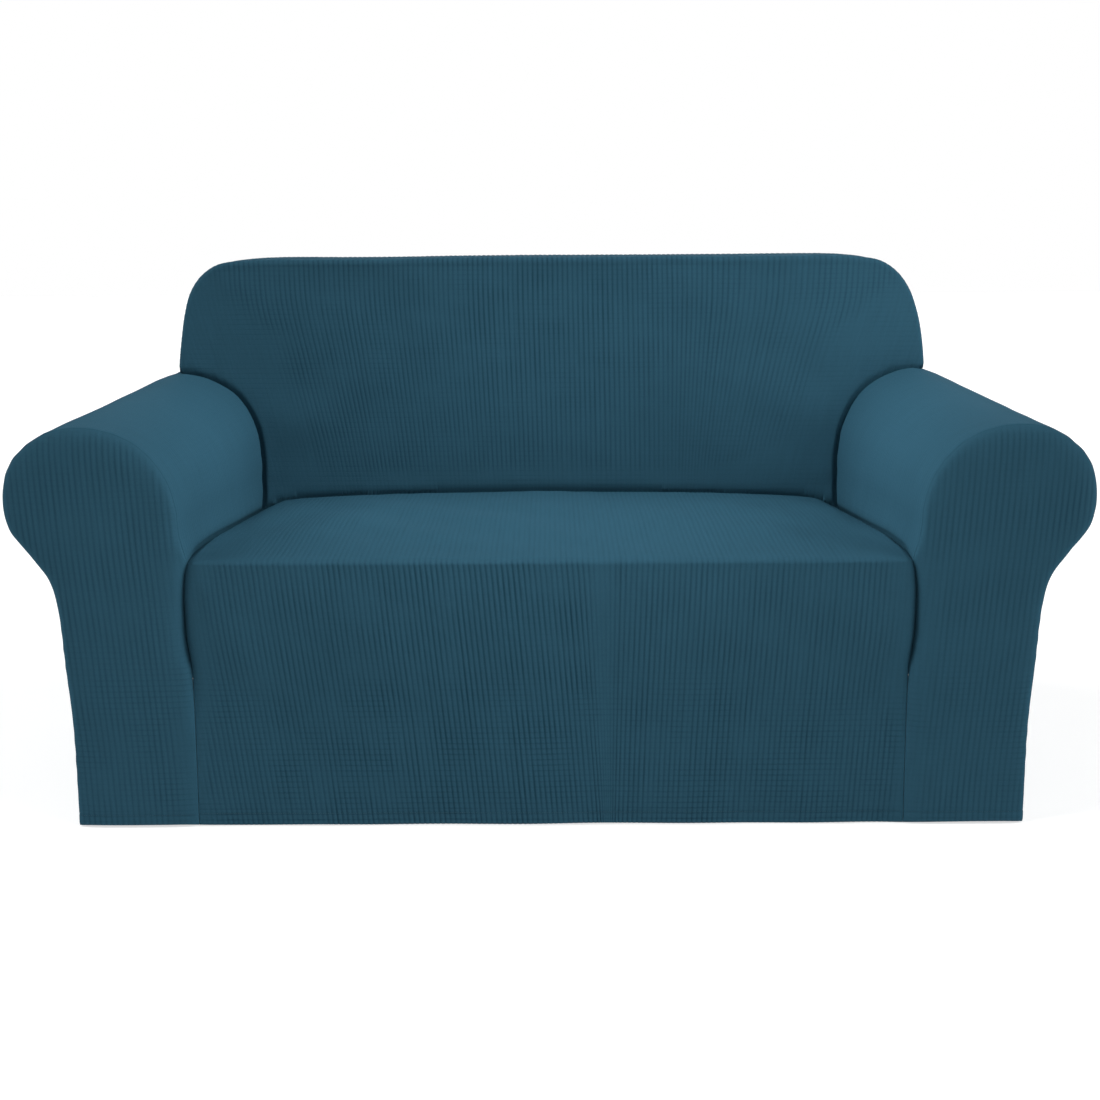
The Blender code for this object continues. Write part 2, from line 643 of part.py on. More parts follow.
def make_panels():
    s = seams()
    panels = []

    # seat and skirt, in one length
    pan = Panel("seat_skirt", seat_skirt_form, 1.0, COLOUR_TOP)

    def skirt_flat(places):
        return np.stack([places[:, 0], places[:, 2]], -1)

    def seat_flat(places):
        return np.stack([places[:, 0], seat_q(places[:, 1])], -1)

    corner_q = TURN_START + SEAT_EDGE_RADIUS * math.pi / 4
    left, right = s["skirt_left"][0], s["skirt_right"][0]
    lf, rf = skirt_flat(left), skirt_flat(right)
    lf[-1][1] = rf[-1][1] = corner_q
    seat_l, seat_r = s["seat_left"][0], s["seat_right"][0]
    sl, sr = seat_flat(seat_l), seat_flat(seat_r)
    sl[0][1] = sr[0][1] = corner_q
    hem = hem_run(left[0], right[0], 17)
    pan.edge("hem", skirt_flat(hem), hem)
    pan.edge("skirt_right", rf, right)
    pan.edge("seat_right", sr, seat_r)
    back = s["seat_back"][0][::-1]
    pan.edge("seat_back", seat_flat(back), back)
    pan.edge("seat_left", sl[::-1], seat_l[::-1])
    pan.edge("skirt_left", lf[::-1], left[::-1])
    rows = [0.04, 0.09, 0.14, 0.19, 0.24, 0.29, 0.34, 0.38, TURN_START]
    rows += [TURN_START + TURN_LENGTH * k for k in (0.33, 0.67, 1.0)]
    rows += list(TURN_START + TURN_LENGTH + np.array([0.05, 0.11, 0.18, 0.26, 0.34, 0.42, 0.50]))
    cols = np.concatenate([[-0.520, -0.500], np.linspace(-0.46, 0.46, 14), [0.500, 0.520]])
    pts = np.array([(a, b) for b in rows for a in cols])
    pan.close(pts, 0.009)
    panels.append(pan)

    # inside of the backrest, wrapped over the top and the sides
    pan = Panel("inside_back", inside_back_form, 1.0, COLOUR_FACE)
    bl, br = s["back_left"][0], s["back_right"][0]
    pan.edge("seat_back", inside_back_pattern(s["seat_back"][0]), s["seat_back"][0])
    pan.edge("back_right", inside_back_pattern(br), br)
    top, run = s["top"]
    at = along(INSET, OUTLINE_RUN, run)
    out = along(OUTLINE_OUT, OUTLINE_RUN, run)
    reach = QUARTER + DEPTH - face_depth(at[:, 0], at[:, 1]) - BACK_ROUNDING
    top_flat = at + out * reach[:, None]
    pan.edge("top", top_flat[::-1], top[::-1])
    pan.edge("back_left", inside_back_pattern(bl[::-1]), bl[::-1])
    pts = []
    for share in (0.03, 0.36, 0.68, 1.0):
        pts.append(at + out * QUARTER * share)
    pts.append(at + out * (QUARTER + (reach - QUARTER)[:, None] * 0.55))
    face = lattice(0.085, 0.050, (-0.68, 0.42), (0.68, 0.80))
    away = nearest_inset(face[:, 0], face[:, 1])[2]
    pts.append(face[away < -0.022])
    pan.close(np.vstack(pts), 0.013)
    panels.append(pan)

    # rear
    pan = Panel("outside_back", outside_back_form, -1.0, COLOUR_FACE)
    rl, rr = s["rear_left"][0], s["rear_right"][0]
    flat = [0, 2]
    hem = hem_run(rl[-1], rr[-1], 17)
    pan.edge("hem", hem[:, flat], hem)
    pan.edge("rear_right", rr[::-1][:, flat], rr[::-1])
    pan.edge("top", top[::-1][:, flat], top[::-1])
    pan.edge("rear_left", rl[:, flat], rl)
    pan.close(lattice(0.105, 0.085, (-0.84, 0.0), (0.84, 0.86)), 0.022)
    panels.append(pan)

    for side, sign, rise in SIDES:
        flip = np.array([sign, 1.0, 1.0])

        def form(y, st, rise=rise, flip=flip):
            return arm_form(y, st, rise) * flip

        # arm: inner face, roll and outer side
        pan = Panel("arm_" + side, form, -sign, COLOUR_TOP)
        seat, seat_at = s["seat_" + side]
        meet, meet_at = s["back_" + side]
        rear, rear_at = s["rear_" + side]
        front, front_at = s["front_" + side]
        hem = hem_run(rear[-1], front[-1], 9)
        hem_at = hem_run(rear_at[-1], front_at[-1], 9)
        pan.edge("seat_" + side, seat_at, seat)
        pan.edge("back_" + side, meet_at, meet)
        pan.edge("rear_" + side, rear_at, rear)
        pan.edge("hem", hem_at, hem)
        pan.edge("front_" + side, front_at[::-1], front[::-1])
        rows = front_at[1:-1, 1]
        cols = (0.05, 0.17, 0.30, 0.42, 0.52, 0.60, 0.67, 0.73, 0.79)
        pts = np.array([(a, b) for b in rows for a in cols])
        pan.close(pts, 0.010)
        panels.append(pan)

        # arm front
        def front_form(p, q, sign=sign, flip=flip):
            return arm_front_form(p * sign, q) * flip

        pan = Panel("arm_front_" + side, front_form, 1.0, COLOUR_FACE)
        skirt = s["skirt_" + side][0]
        hem = hem_run(front[-1], skirt[0], 5)
        pan.edge("front_" + side, front[:, flat], front)
        pan.edge("hem", hem[:, flat], hem)
        pan.edge("skirt_" + side, skirt[:, flat], skirt)
        near = [SECTION[:: 16] * [sign, 1.0]]
        t = np.gradient(near[0], axis=0)
        t /= np.linalg.norm(t, axis=1, keepdims=True)
        inn = np.stack([t[:, 1], -t[:, 0]], -1) * sign
        ring = near[0] + 0.016 * inn
        grid = lattice(0.045, 0.055, (min(sign * 0.53, sign * 0.82), 0.0), (max(sign * 0.53, sign * 0.82), 0.62))
        deep = distance_to(SECTION * [sign, 1.0], grid[:, 0], grid[:, 1]) > 0.036
        pan.close(np.vstack([ring, grid[deep]]), 0.011)
        panels.append(pan)
    return panels


def main():
    for old in list(bpy.data.objects):
        bpy.data.objects.remove(old, do_unlink=True)
    panels = make_panels()
    normals_at = {}
    for pan in panels:
        for place, n in zip(pan.place, pan.edge_out):
            normals_at.setdefault(spot(place), []).append(n)
    low, high = np.full(3, 9.0), np.full(3, -9.0)
    made = []
    for pan in panels:
        mesh = build_panel(pan, normals_at)
        mesh.materials.append(cloth_material(pan.name + "_knit", pan.colour))
        obj = bpy.data.objects.new(pan.name, mesh)
        bpy.context.scene.collection.objects.link(obj)
        made.append(obj)
        co = np.array([v.co for v in mesh.vertices])
        low, high = np.minimum(low, co.min(0)), np.maximum(high, co.max(0))
    # the origin is the middle of the cover's footprint, in the plane of its hem
    shift = -(low + high) / 2
    for obj in made:
        obj.data.transform(Matrix.Translation((shift[0], shift[1], 0.0)))
        obj.data.update()
    print("FRAME shift", [round(float(v), 5) for v in shift[:2]])
    print("FRAME size", [round(float(v), 4) for v in high - low])
    for obj in made:
        print("FRAME", obj.name, len(obj.data.polygons))


main()
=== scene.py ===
"""Looks of a fitted stretch slipcover: seven panels of ribbed check knit, sewn edge to edge.

Each panel is one thin closed sheet, laid out in the knit's own directions (ribs and courses), so
that every rib is a real ridge that runs with the cloth. Seams draw in between the panels, hems are
turned up and stitched, and soft folds are listed in tables.
"""

import math

import bmesh
import bpy
import numpy as np
from mathutils import Matrix, Vector
from mathutils.geometry import delaunay_2d_cdt


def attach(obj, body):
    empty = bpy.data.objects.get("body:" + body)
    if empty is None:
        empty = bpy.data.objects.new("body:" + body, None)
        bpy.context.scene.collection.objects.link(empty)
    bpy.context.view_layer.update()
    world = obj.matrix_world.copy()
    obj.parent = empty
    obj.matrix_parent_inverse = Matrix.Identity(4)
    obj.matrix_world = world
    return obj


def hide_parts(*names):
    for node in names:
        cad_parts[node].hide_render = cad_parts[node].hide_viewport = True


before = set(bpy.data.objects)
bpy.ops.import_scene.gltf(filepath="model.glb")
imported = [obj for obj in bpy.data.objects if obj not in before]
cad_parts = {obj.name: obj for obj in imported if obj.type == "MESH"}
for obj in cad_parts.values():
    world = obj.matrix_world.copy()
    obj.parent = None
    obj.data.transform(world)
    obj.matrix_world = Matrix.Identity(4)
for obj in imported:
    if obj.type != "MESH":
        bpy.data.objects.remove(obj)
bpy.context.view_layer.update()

# ---------------------------------------------------------------- sizes
CLOTH = 0.0020  # thickness of the knit with its ribs
SEAM_GAP = 0.0003
DEPTH = 0.850  # seam of the arm fronts to the rear seam
SHIFT = (0.0, -0.422, 0.0)  # from the arm fronts' seam to the frame's origin
SEAT_HEIGHT = 0.4175
SEAT_EDGE_RADIUS = 0.008
FACE_FOOT = 0.555
FACE_FOOT_HEIGHT = 0.420
FACE_LEAN = 0.30
FACE_CROWN = 0.012
BACK_ROUNDING = 0.013
BACK_ASKEW = 0.0045  # the cloth round the backrest has slid this far to the right, low down
TOP_LOWER_LEFT = 0.0034  # the backrest's top edge sinks this much to the left
REAR_INSET = 0.004
REAR_CROWN = 0.006
FRONT_CROWN = 0.010
FRONT_CROWN_EDGE = 0.012
SKIRT_BULGE = 0.012
REAR_RISE_LEFT = 0.40

ARM_SECTION = (
    # name, x, z
    ("crease", 0.5345, 0.4134),
    ("inner_low", 0.5436, 0.4550),
    ("inner_mid", 0.5462, 0.4950),
    ("inner_high", 0.5585, 0.5380),
    ("shoulder_in", 0.5870, 0.5780),
    ("shoulder", 0.6216, 0.6015),
    ("crest", 0.6720, 0.6140),
    ("shoulder_out", 0.7250, 0.6085),
    ("roll_high", 0.7670, 0.5830),
    ("roll_up", 0.7900, 0.5530),
    ("roll_widest", 0.8003, 0.5050),
    ("roll_low", 0.7935, 0.4630),
    ("roll_under", 0.7680, 0.4265),
    ("neck", 0.7412, 0.3860),
    ("side_high", 0.7318, 0.3450),
    ("side_mid", 0.7265, 0.2500),
    ("side_low", 0.7218, 0.1600),
    ("hem", 0.7232, 0.0000),
)
ARM_AT_BACK = (
    # name, x, z, power
    ("crease", 0.5228, 0.3840, 1.0),
    ("inner_low", 0.5226, 0.4300, 1.0),
    ("inner_mid", 0.5240, 0.4780, 1.1),
    ("inner_high", 0.5345, 0.5335, 1.3),
    ("shoulder_in", 0.5660, 0.5870, 1.5),
    ("shoulder", 0.6120, 0.6172, 1.6),
    ("crest", 0.6660, 0.6308, 1.6),
)
SEAM_BEHIND_CREST = (
    # name, x, y
    ("turn", 0.6815, 0.619),
    ("side_front", 0.6856, 0.630),
    ("side_mid", 0.6862, 0.720),
    ("rear", 0.6870, DEPTH),
)
SEAT_SIDE = (
    # name, share of the way back, z
    ("front", 0.000, 0.4134),
    ("swell", 0.130, 0.4205),
    ("swell_end", 0.260, 0.4190),
    ("mid", 0.460, 0.4100),
    ("rear_mid", 0.730, 0.3965),
    ("corner", 1.000, 0.3840),
)
SEAT_REAR = (
    # name, x, z
    ("middle", 0.000, 0.4175),
    ("quarter", 0.260, 0.4140),
    ("outer", 0.420, 0.4080),
    ("near_arm", 0.480, 0.4030),
    ("dip", 0.508, 0.3910),
    ("corner", 0.5228, 0.3840),
)
SKIRT_SEAM = (
    # name, z, x, tuck
    ("seat", 0.4134, 0.5345, 0.0030),
    ("tuck_top", 0.3950, 0.5405, 0.0060),
    ("tuck_high", 0.3500, 0.5448, 0.0078),
    ("tuck_mid", 0.3100, 0.5452, 0.0088),
    ("tuck_low", 0.2750, 0.5424, 0.0086),
    ("tuck_end", 0.2450, 0.5375, 0.0048),
    ("flush", 0.2000, 0.5360, 0.0010),
    ("low", 0.1000, 0.5370, 0.0000),
    ("hem", 0.0000, 0.5390, 0.0000),
)
BACK_OUTLINE = (
    # name, x, z
    ("foot", 0.6870, 0.5600),
    ("arm", 0.6862, 0.6180),
    ("side_low", 0.6852, 0.6575),
    ("side_mid", 0.6820, 0.6960),
    ("side_high", 0.6765, 0.7327),
    ("corner_low", 0.6662, 0.7700),
    ("corner_mid", 0.6475, 0.8000),
    ("corner_high", 0.6160, 0.8225),
    ("top_end", 0.5700, 0.8308),
    ("top_quarter", 0.3000, 0.8322),
    ("middle", 0.0000, 0.8320),
)
SIDES = (
    # name, sign, how much of the arm's rise by the backrest
    ("left", -1.0, 0.82),
    ("right", 1.0, 1.18),
)

# ---------------------------------------------------------------- the knit
STEPS_PER_RIB = 4
ROW = 0.0105  # along the ribs, between two rows of points
ALONG_SEAM = 0.0024  # between two points of a seam
INNER_STEP = 0.024  # mesh of the sheet's inner side
RIB_PROFILE = (-0.55, 0.30, 0.50, 0.30)  # share of the relief at four places across a rib
COURSE = 0.0087  # pitch of the check across the ribs

# How each panel is cut from the knit: pitch of its ribs, height of a rib, and which way it leans.
KNIT = {
    # panel: rib pitch, relief, first rib
    "seat_skirt": (0.0080, 0.00090, 0.0),
    "inside_back": (0.0092, 0.00080, 0.3),
    "outside_back": (0.0087, 0.00080, 0.0),
    "arm": (0.0087, 0.00075, 0.2),
    "arm_front": (0.0086, 0.00050, 0.1),
}

# The cloth is pulled sideways as it goes down: how far a rib has moved by the bottom of its panel.
LEAN_SKIRT = (
    # place, x, sideways at the hem
    ("seam_left", -0.54, 0.050),
    ("outer_left", -0.42, 0.045),
    ("left", -0.29, 0.040),
    ("left_mid", -0.15, 0.038),
    ("near_apex", 0.030, 0.033),
    ("past_apex", 0.120, -0.011),
    ("right", 0.30, -0.019),
    ("seam_right", 0.54, -0.021),
)
LEAN_BACK = (
    # place, x, sideways at the seat
    ("outer_left", -0.80, 0.136),
    ("left", -0.50, 0.092),
    ("left_mid", -0.30, 0.048),
    ("middle", 0.00, 0.009),
    ("still", 0.20, 0.000),
    ("right_mid", 0.38, -0.070),
    ("right", 0.50, -0.108),
    ("outer_right", 0.80, -0.150),
)
SPREAD_BACK = (
    # place, x, how far the ribs are drawn apart towards the right arm
    ("left", -0.80, 0.000),
    ("still", 0.26, 0.000),
    ("right", 0.55, 0.034),
    ("outer_right", 0.80, 0.044),
)
BACK_SWAY = (
    # name, how far down the backrest, share of the lean
    ("top", 0.00, 0.000),
    ("high", 0.15, 0.060),
    ("mid", 0.45, 0.390),
    ("low", 0.80, 0.800),
    ("seat", 1.00, 1.000),
)
LEAN_ARM_FRONT = 0.027  # towards the middle of the cover, from the roll to the hem

# How deep a seam draws in, and over what width. Creases between the seat, arms and back are deep.
DRAWN = {
    # seam: depth, width
    "front": (0.0013, 0.0030),
    "rear": (0.0014, 0.0030),
    "skirt": (0.0016, 0.0026),
    "seat": (0.0066, 0.0032),
    "seat_back": (0.0072, 0.0036),
    "back": (0.0062, 0.0036),
    "top": (0.0014, 0.0030),
}

# Gathering beside a seam: height, wave length, and how far into the panel it reaches.
GATHER = {
    # seam: height, wave, reach
    "front": (0.00045, 0.031, 0.020),
    "rear": (0.00050, 0.034, 0.024),
    "skirt": (0.00030, 0.038, 0.022),
    "seat": (0.00035, 0.046, 0.030),
    "seat_back": (0.00030, 0.052, 0.032),
    "back": (0.00045, 0.043, 0.034),
    "top": (0.00045, 0.036, 0.022),
}

# Soft folds listed for each panel's pattern: from (p, q) to (p, q), half width, height.
FOLDS = {
    "seat_skirt": (
        # name, p0, q0, p1, q1, half width, height
        ("corner_left_low", -0.530, 0.392, -0.440, 0.250, 0.020, 0.0016),
        ("corner_left", -0.525, 0.300, -0.380, 0.120, 0.030, -0.0012),
        ("corner_right_low", 0.530, 0.392, 0.450, 0.255, 0.020, 0.0015),
        ("corner_right", 0.525, 0.290, 0.390, 0.110, 0.030, -0.0012),
        ("middle_left", -0.160, 0.380, -0.120, 0.060, 0.045, 0.0012),
        ("middle", 0.060, 0.380, 0.055, 0.020, 0.050, -0.0013),
        ("middle_right", 0.250, 0.370, 0.215, 0.060, 0.045, 0.0011),
        ("seat_left", -0.500, 0.520, -0.360, 0.900, 0.035, -0.0016),
        ("seat_left_swell", -0.400, 0.470, -0.270, 0.880, 0.045, 0.0014),
        ("seat_right", 0.500, 0.520, 0.380, 0.900, 0.035, -0.0016),
        ("seat_right_swell", 0.400, 0.470, 0.300, 0.880, 0.045, 0.0018),
        ("seat_middle", 0.020, 0.470, 0.000, 0.900, 0.070, 0.0015),
    ),
    "inside_back": (
        # name, p0, q0, p1, q1, half width, height
        ("arm_left_pull", -0.520, 0.560, -0.380, 0.700, 0.026, -0.0016),
        ("arm_left_ridge", -0.470, 0.520, -0.300, 0.660, 0.030, 0.0016),
        ("arm_left_low", -0.500, 0.450, -0.330, 0.560, 0.026, -0.0014),
        ("arm_right_pull", 0.540, 0.570, 0.400, 0.710, 0.026, -0.0016),
        ("arm_right_ridge", 0.480, 0.520, 0.330, 0.660, 0.030, 0.0015),
        ("arm_right_low", 0.500, 0.450, 0.350, 0.550, 0.026, -0.0014),
        ("corner_left", -0.640, 0.850, -0.480, 0.700, 0.030, 0.0013),
        ("corner_right", 0.650, 0.850, 0.500, 0.710, 0.030, 0.0013),
        ("top_left", -0.260, 0.860, -0.180, 0.560, 0.040, 0.0014),
        ("top_left_dip", -0.330, 0.860, -0.260, 0.620, 0.030, -0.0011),
        ("top_middle", -0.030, 0.860, -0.010, 0.520, 0.035, -0.0012),
        ("line", -0.0665, 0.840, -0.0560, 0.450, 0.0036, -0.0011),
        ("top_right", 0.230, 0.860, 0.200, 0.560, 0.045, 0.0012),
    ),
    "outside_back": (
        # name, p0, q0, p1, q1, half width, height
        ("roll_left", -0.740, 0.430, -0.480, 0.330, 0.035, -0.0020),
        ("roll_left_up", -0.700, 0.620, -0.450, 0.480, 0.040, 0.0018),
        ("roll_right", 0.740, 0.430, 0.500, 0.340, 0.035, -0.0020),
        ("roll_right_up", 0.700, 0.620, 0.470, 0.490, 0.040, 0.0018),
        ("middle", -0.100, 0.740, -0.130, 0.100, 0.080, 0.0022),
        ("middle_dip", 0.180, 0.700, 0.200, 0.080, 0.070, -0.0018),
    ),
    "arm": (
        # name, p0, q0, p1, q1, half width, height
        ("front_top", 0.060, 0.120, 0.240, 0.210, 0.026, 0.0012),
        ("front_in", 0.050, 0.080, 0.260, 0.120, 0.022, -0.0010),
        ("rear_pull", 0.640, 0.240, 0.440, 0.160, 0.028, -0.0016),
        ("rear_ridge", 0.660, 0.290, 0.420, 0.230, 0.030, 0.0015),
        ("roll_under", 0.060, 0.530, 0.780, 0.535, 0.022, -0.0018),
        ("side", 0.180, 0.600, 0.300, 0.900, 0.050, 0.0018),
        ("side_rear", 0.640, 0.600, 0.560, 0.900, 0.050, -0.0016),
    ),
    "arm_front": (
        # name, p0, q0, p1, q1, half width, height
        ("neck", 0.745, 0.385, 0.660, 0.330, 0.022, -0.0016),
        ("neck_low", 0.735, 0.340, 0.640, 0.230, 0.024, 0.0013),
        ("tuck", 0.552, 0.300, 0.610, 0.200, 0.020, 0.0012),
        ("scroll", 0.640, 0.560, 0.690, 0.440, 0.030, 0.0010),
    ),
}
# Where stretched cloth shows its ribs: on the inside back, half the width that does, by height.
BACK_RIBBED = (
    # name, z, left, right
    ("foot", 0.420, 0.400, 0.240),
    ("low", 0.465, 0.430, 0.330),
    ("arm_low", 0.520, 0.445, 0.440),
    ("arm", 0.600, 0.470, 0.475),
    ("arm_top", 0.680, 0.490, 0.500),
    ("side", 0.750, 0.560, 0.590),
    ("top", 0.830, 0.640, 0.660),
    ("over", 1.200, 0.680, 0.680),
)
SEAT_RIBS = 0.34  # share of a full rib on the seat
ARM_RIBS = 0.24  # on the arms' tops and inner faces
ARM_SIDE_RIBS = 0.85  # on their outer sides
RIB_SPREAD = 0.21  # how much one furrow differs from the next
UNEVEN = 0.0011  # height of the broad unevenness of stretched cloth
HEM_HEIGHT = 0.0190  # line of stitches that holds the hem
HEM_THICK = 0.0012  # the turned-up cloth behind it
STITCH_PITCH = 0.0036
STITCH_LENGTH = 0.0027
STITCH_RADIUS = 0.00042


# ---------------------------------------------------------------- curves
def columns(table, *fields):
    return [np.array([row[f] for row in table], float) for f in fields]


def spline(stations, values, at):
    """Smooth curve through the rows of a table, without overshoot between them."""
    x, y, at = np.asarray(stations), np.asarray(values), np.asarray(at, float)
    h, d = np.diff(x), np.diff(y) / np.diff(x)
    m = np.empty_like(y)
    m[0], m[-1] = d[0], d[-1]
    for i in range(1, len(x) - 1):
        if d[i - 1] * d[i] <= 0:
            m[i] = 0.0
        else:
            w1, w2 = 2 * h[i] + h[i - 1], h[i] + 2 * h[i - 1]
            m[i] = (w1 + w2) / (w1 / d[i - 1] + w2 / d[i])
    i = np.clip(np.searchsorted(x, at, side="right") - 1, 0, len(h) - 1)
    t = np.clip((at - x[i]) / h[i], 0.0, 1.0)
    a, b = 2 * t**3 - 3 * t**2 + 1, t**3 - 2 * t**2 + t
    c, e = -2 * t**3 + 3 * t**2, t**3 - t**2
    return a * y[i] + b * h[i] * m[i] + c * y[i + 1] + e * h[i] * m[i + 1]


def round_curve(points, steps=24):
    """Centripetal curve through the points, as a dense run of points."""
    p = np.asarray(points, float)
    p = np.vstack([2 * p[0] - p[1], p, 2 * p[-1] - p[-2]])
    out = []
    for a, b, c, d in zip(p[:-3], p[1:-2], p[2:-1], p[3:]):
        k0, k1, k2 = (max(np.linalg.norm(v) ** 0.5, 1e-6) for v in (b - a, c - b, d - c))
        m1 = (b - a) / k0 - (c - a) / (k0 + k1) + (c - b) / k1
        m2 = (c - b) / k1 - (d - b) / (k1 + k2) + (d - c) / k2
        m1, m2 = m1 * k1, m2 * k1
        for t in np.linspace(0, 1, steps, endpoint=False):
            out.append(
                (2 * t**3 - 3 * t**2 + 1) * b
                + (t**3 - 2 * t**2 + t) * m1
                + (3 * t**2 - 2 * t**3) * c
                + (t**3 - t**2) * m2
            )
    out.append(p[-2])
    return np.array(out)


def run_of(points):
    return np.concatenate([[0.0], np.cumsum(np.linalg.norm(np.diff(points, axis=0), axis=1))])


def along(points, run, at):
    return np.stack([np.interp(at, run, points[:, k]) for k in range(points.shape[1])], -1)


def even(points, step):
    """The same run of points, at even distances."""
    run = run_of(points)
    return along(points, run, np.linspace(0, run[-1], max(2, int(round(run[-1] / step)) + 1)))


def smoothstep(t):
    t = np.clip(t, 0.0, 1.0)
    return t * t * (3 - 2 * t)


# ---------------------------------------------------------------- the form
SECTION = round_curve([row[1:] for row in ARM_SECTION])
SECTION_RUN = run_of(SECTION)
SECTION_LENGTH = SECTION_RUN[-1]
STATION = {row[0]: SECTION_RUN[24 * i] for i, row in enumerate(ARM_SECTION)}

half = [(-x, z) for _, x, z in BACK_OUTLINE]
OUTLINE = round_curve(half + [(-x, z) for x, z in reversed(half[:-1])])
OUTLINE[:, 0] += BACK_ASKEW * smoothstep((0.83 - OUTLINE[:, 1]) / 0.15)
OUTLINE[:, 1] -= (
    TOP_LOWER_LEFT * smoothstep((-OUTLINE[:, 0] - 0.05) / 0.40) * smoothstep((OUTLINE[:, 1] - 0.68) / 0.12)
)
OUTLINE_RUN = run_of(OUTLINE)
TOP_MIDDLE = len(OUTLINE) // 2
_t = np.gradient(OUTLINE, axis=0)
_t /= np.linalg.norm(_t, axis=1, keepdims=True)
OUTLINE_OUT = np.stack([-_t[:, 1], _t[:, 0]], -1)
INSET = OUTLINE - BACK_ROUNDING * OUTLINE_OUT


def face_depth(x, z):
    """The backrest's front face."""
    rise = np.clip((z - FACE_FOOT_HEIGHT) / (0.83 - FACE_FOOT_HEIGHT), 0.0, 1.0)
    crown = np.sin(math.pi * rise) * (1 - np.clip(np.abs(x) / 0.72, 0, 1) ** 4)
    return FACE_FOOT + FACE_LEAN * (z - FACE_FOOT_HEIGHT) - FACE_CROWN * crown


def nearest_inset(x, z):
    """Nearest place on the inset outline: its point, outward direction and the signed distance."""
    x, z = np.atleast_1d(x), np.atleast_1d(z)
    a, b = INSET[:-1], INSET[1:]
    ab = b - a
    length2 = (ab**2).sum(1)
    foot, out, away = np.empty((len(x), 2)), np.empty((len(x), 2)), np.empty(len(x))
    for lo in range(0, len(x), 2000):
        p = np.stack([x[lo : lo + 2000], z[lo : lo + 2000]], -1)
        t = np.clip(((p[:, None] - a) * ab).sum(2) / length2, 0, 1)
        d2 = ((p[:, None] - (a + t[..., None] * ab)) ** 2).sum(2)
        i = d2.argmin(1)
        r = np.arange(len(p))
        tt = t[r, i][:, None]
        here = a[i] + tt * ab[i]
        n = np.stack([-ab[i][:, 1], ab[i][:, 0]], -1)
        n /= np.linalg.norm(n, axis=1, keepdims=True)
        gap = p - here
        far = np.linalg.norm(gap, axis=1)
        side = np.where((gap * n).sum(1) < 0, -1.0, 1.0)
        clear = far > 1e-7
        n[clear] = gap[clear] * (side[clear] / far[clear])[:, None]
        foot[lo : lo + 2000], out[lo : lo + 2000] = here, n
        away[lo : lo + 2000] = far * side
    return foot, out, away


def backrest_depth(x, z):
    """Depth at which a line along Y first meets the backrest, for points inside its outline."""
    foot, _, away = nearest_inset(x, z)
    away = np.clip(away, 0.0, BACK_ROUNDING)
    turn = BACK_ROUNDING - np.sqrt(BACK_ROUNDING**2 - away**2)
    inside_face = away <= 0
    base = np.where(inside_face, face_depth(x, z), face_depth(foot[:, 0], foot[:, 1]))
    return base + turn


QUARTER = BACK_ROUNDING * math.pi / 2


def inside_back_form(p, q):
    """Flat pattern to form: the face, its turn, then the strip back to the rear seam."""
    foot, out, away = nearest_inset(p, q)
    base = face_depth(foot[:, 0], foot[:, 1])
    phi = np.clip(away / BACK_ROUNDING, 0.0, math.pi / 2)
    beyond = np.maximum(away - QUARTER, 0.0)
    y = base + BACK_ROUNDING * (1 - np.cos(phi)) + beyond
    left = np.clip((y - (DEPTH - 0.030)) / 0.030, 0.0, 1.2)
    reach = BACK_ROUNDING * np.sin(phi) - REAR_INSET * left**2
    x, z = foot[:, 0] + out[:, 0] * reach, foot[:, 1] + out[:, 1] * reach
    flat = away <= 0
    return np.stack(
        [np.where(flat, p, x), np.where(flat, face_depth(p, q), y), np.where(flat, q, z)], -1
    )


def inside_back_pattern(points):
    """Form to flat pattern, the other way."""
    foot, out, away = nearest_inset(points[:, 0], points[:, 2])
    base = face_depth(foot[:, 0], foot[:, 1])
    deep = points[:, 1] - base
    phi = np.arctan2(np.maximum(away, 0.0), np.maximum(BACK_ROUNDING - deep, 1e-6))
    reach = np.where(deep < BACK_ROUNDING, phi * BACK_ROUNDING, QUARTER + deep - BACK_ROUNDING)
    on_face = away <= 0
    flat = foot + out * reach[:, None]
    return np.where(on_face[:, None], points[:, [0, 2]], flat)


AT_BACK_RUN = np.array([STATION[row[0]] for row in ARM_AT_BACK])
AT_BACK_X, AT_BACK_Z, AT_BACK_POWER = columns(ARM_AT_BACK, 1, 2, 3)
FRONT_THERE = along(SECTION, SECTION_RUN, AT_BACK_RUN)
CREST = STATION["crest"]


def arm_meets_back(s):
    """How deep the arm runs at station s before it meets the backrest's face."""
    s = np.minimum(s, CREST)
    x = spline(AT_BACK_RUN, AT_BACK_X, s)
    z = spline(AT_BACK_RUN, AT_BACK_Z, s)
    return backrest_depth(x, z)


MEET_STATIONS = np.linspace(0.0, CREST, 60)
MEET_DEPTHS = arm_meets_back(MEET_STATIONS)


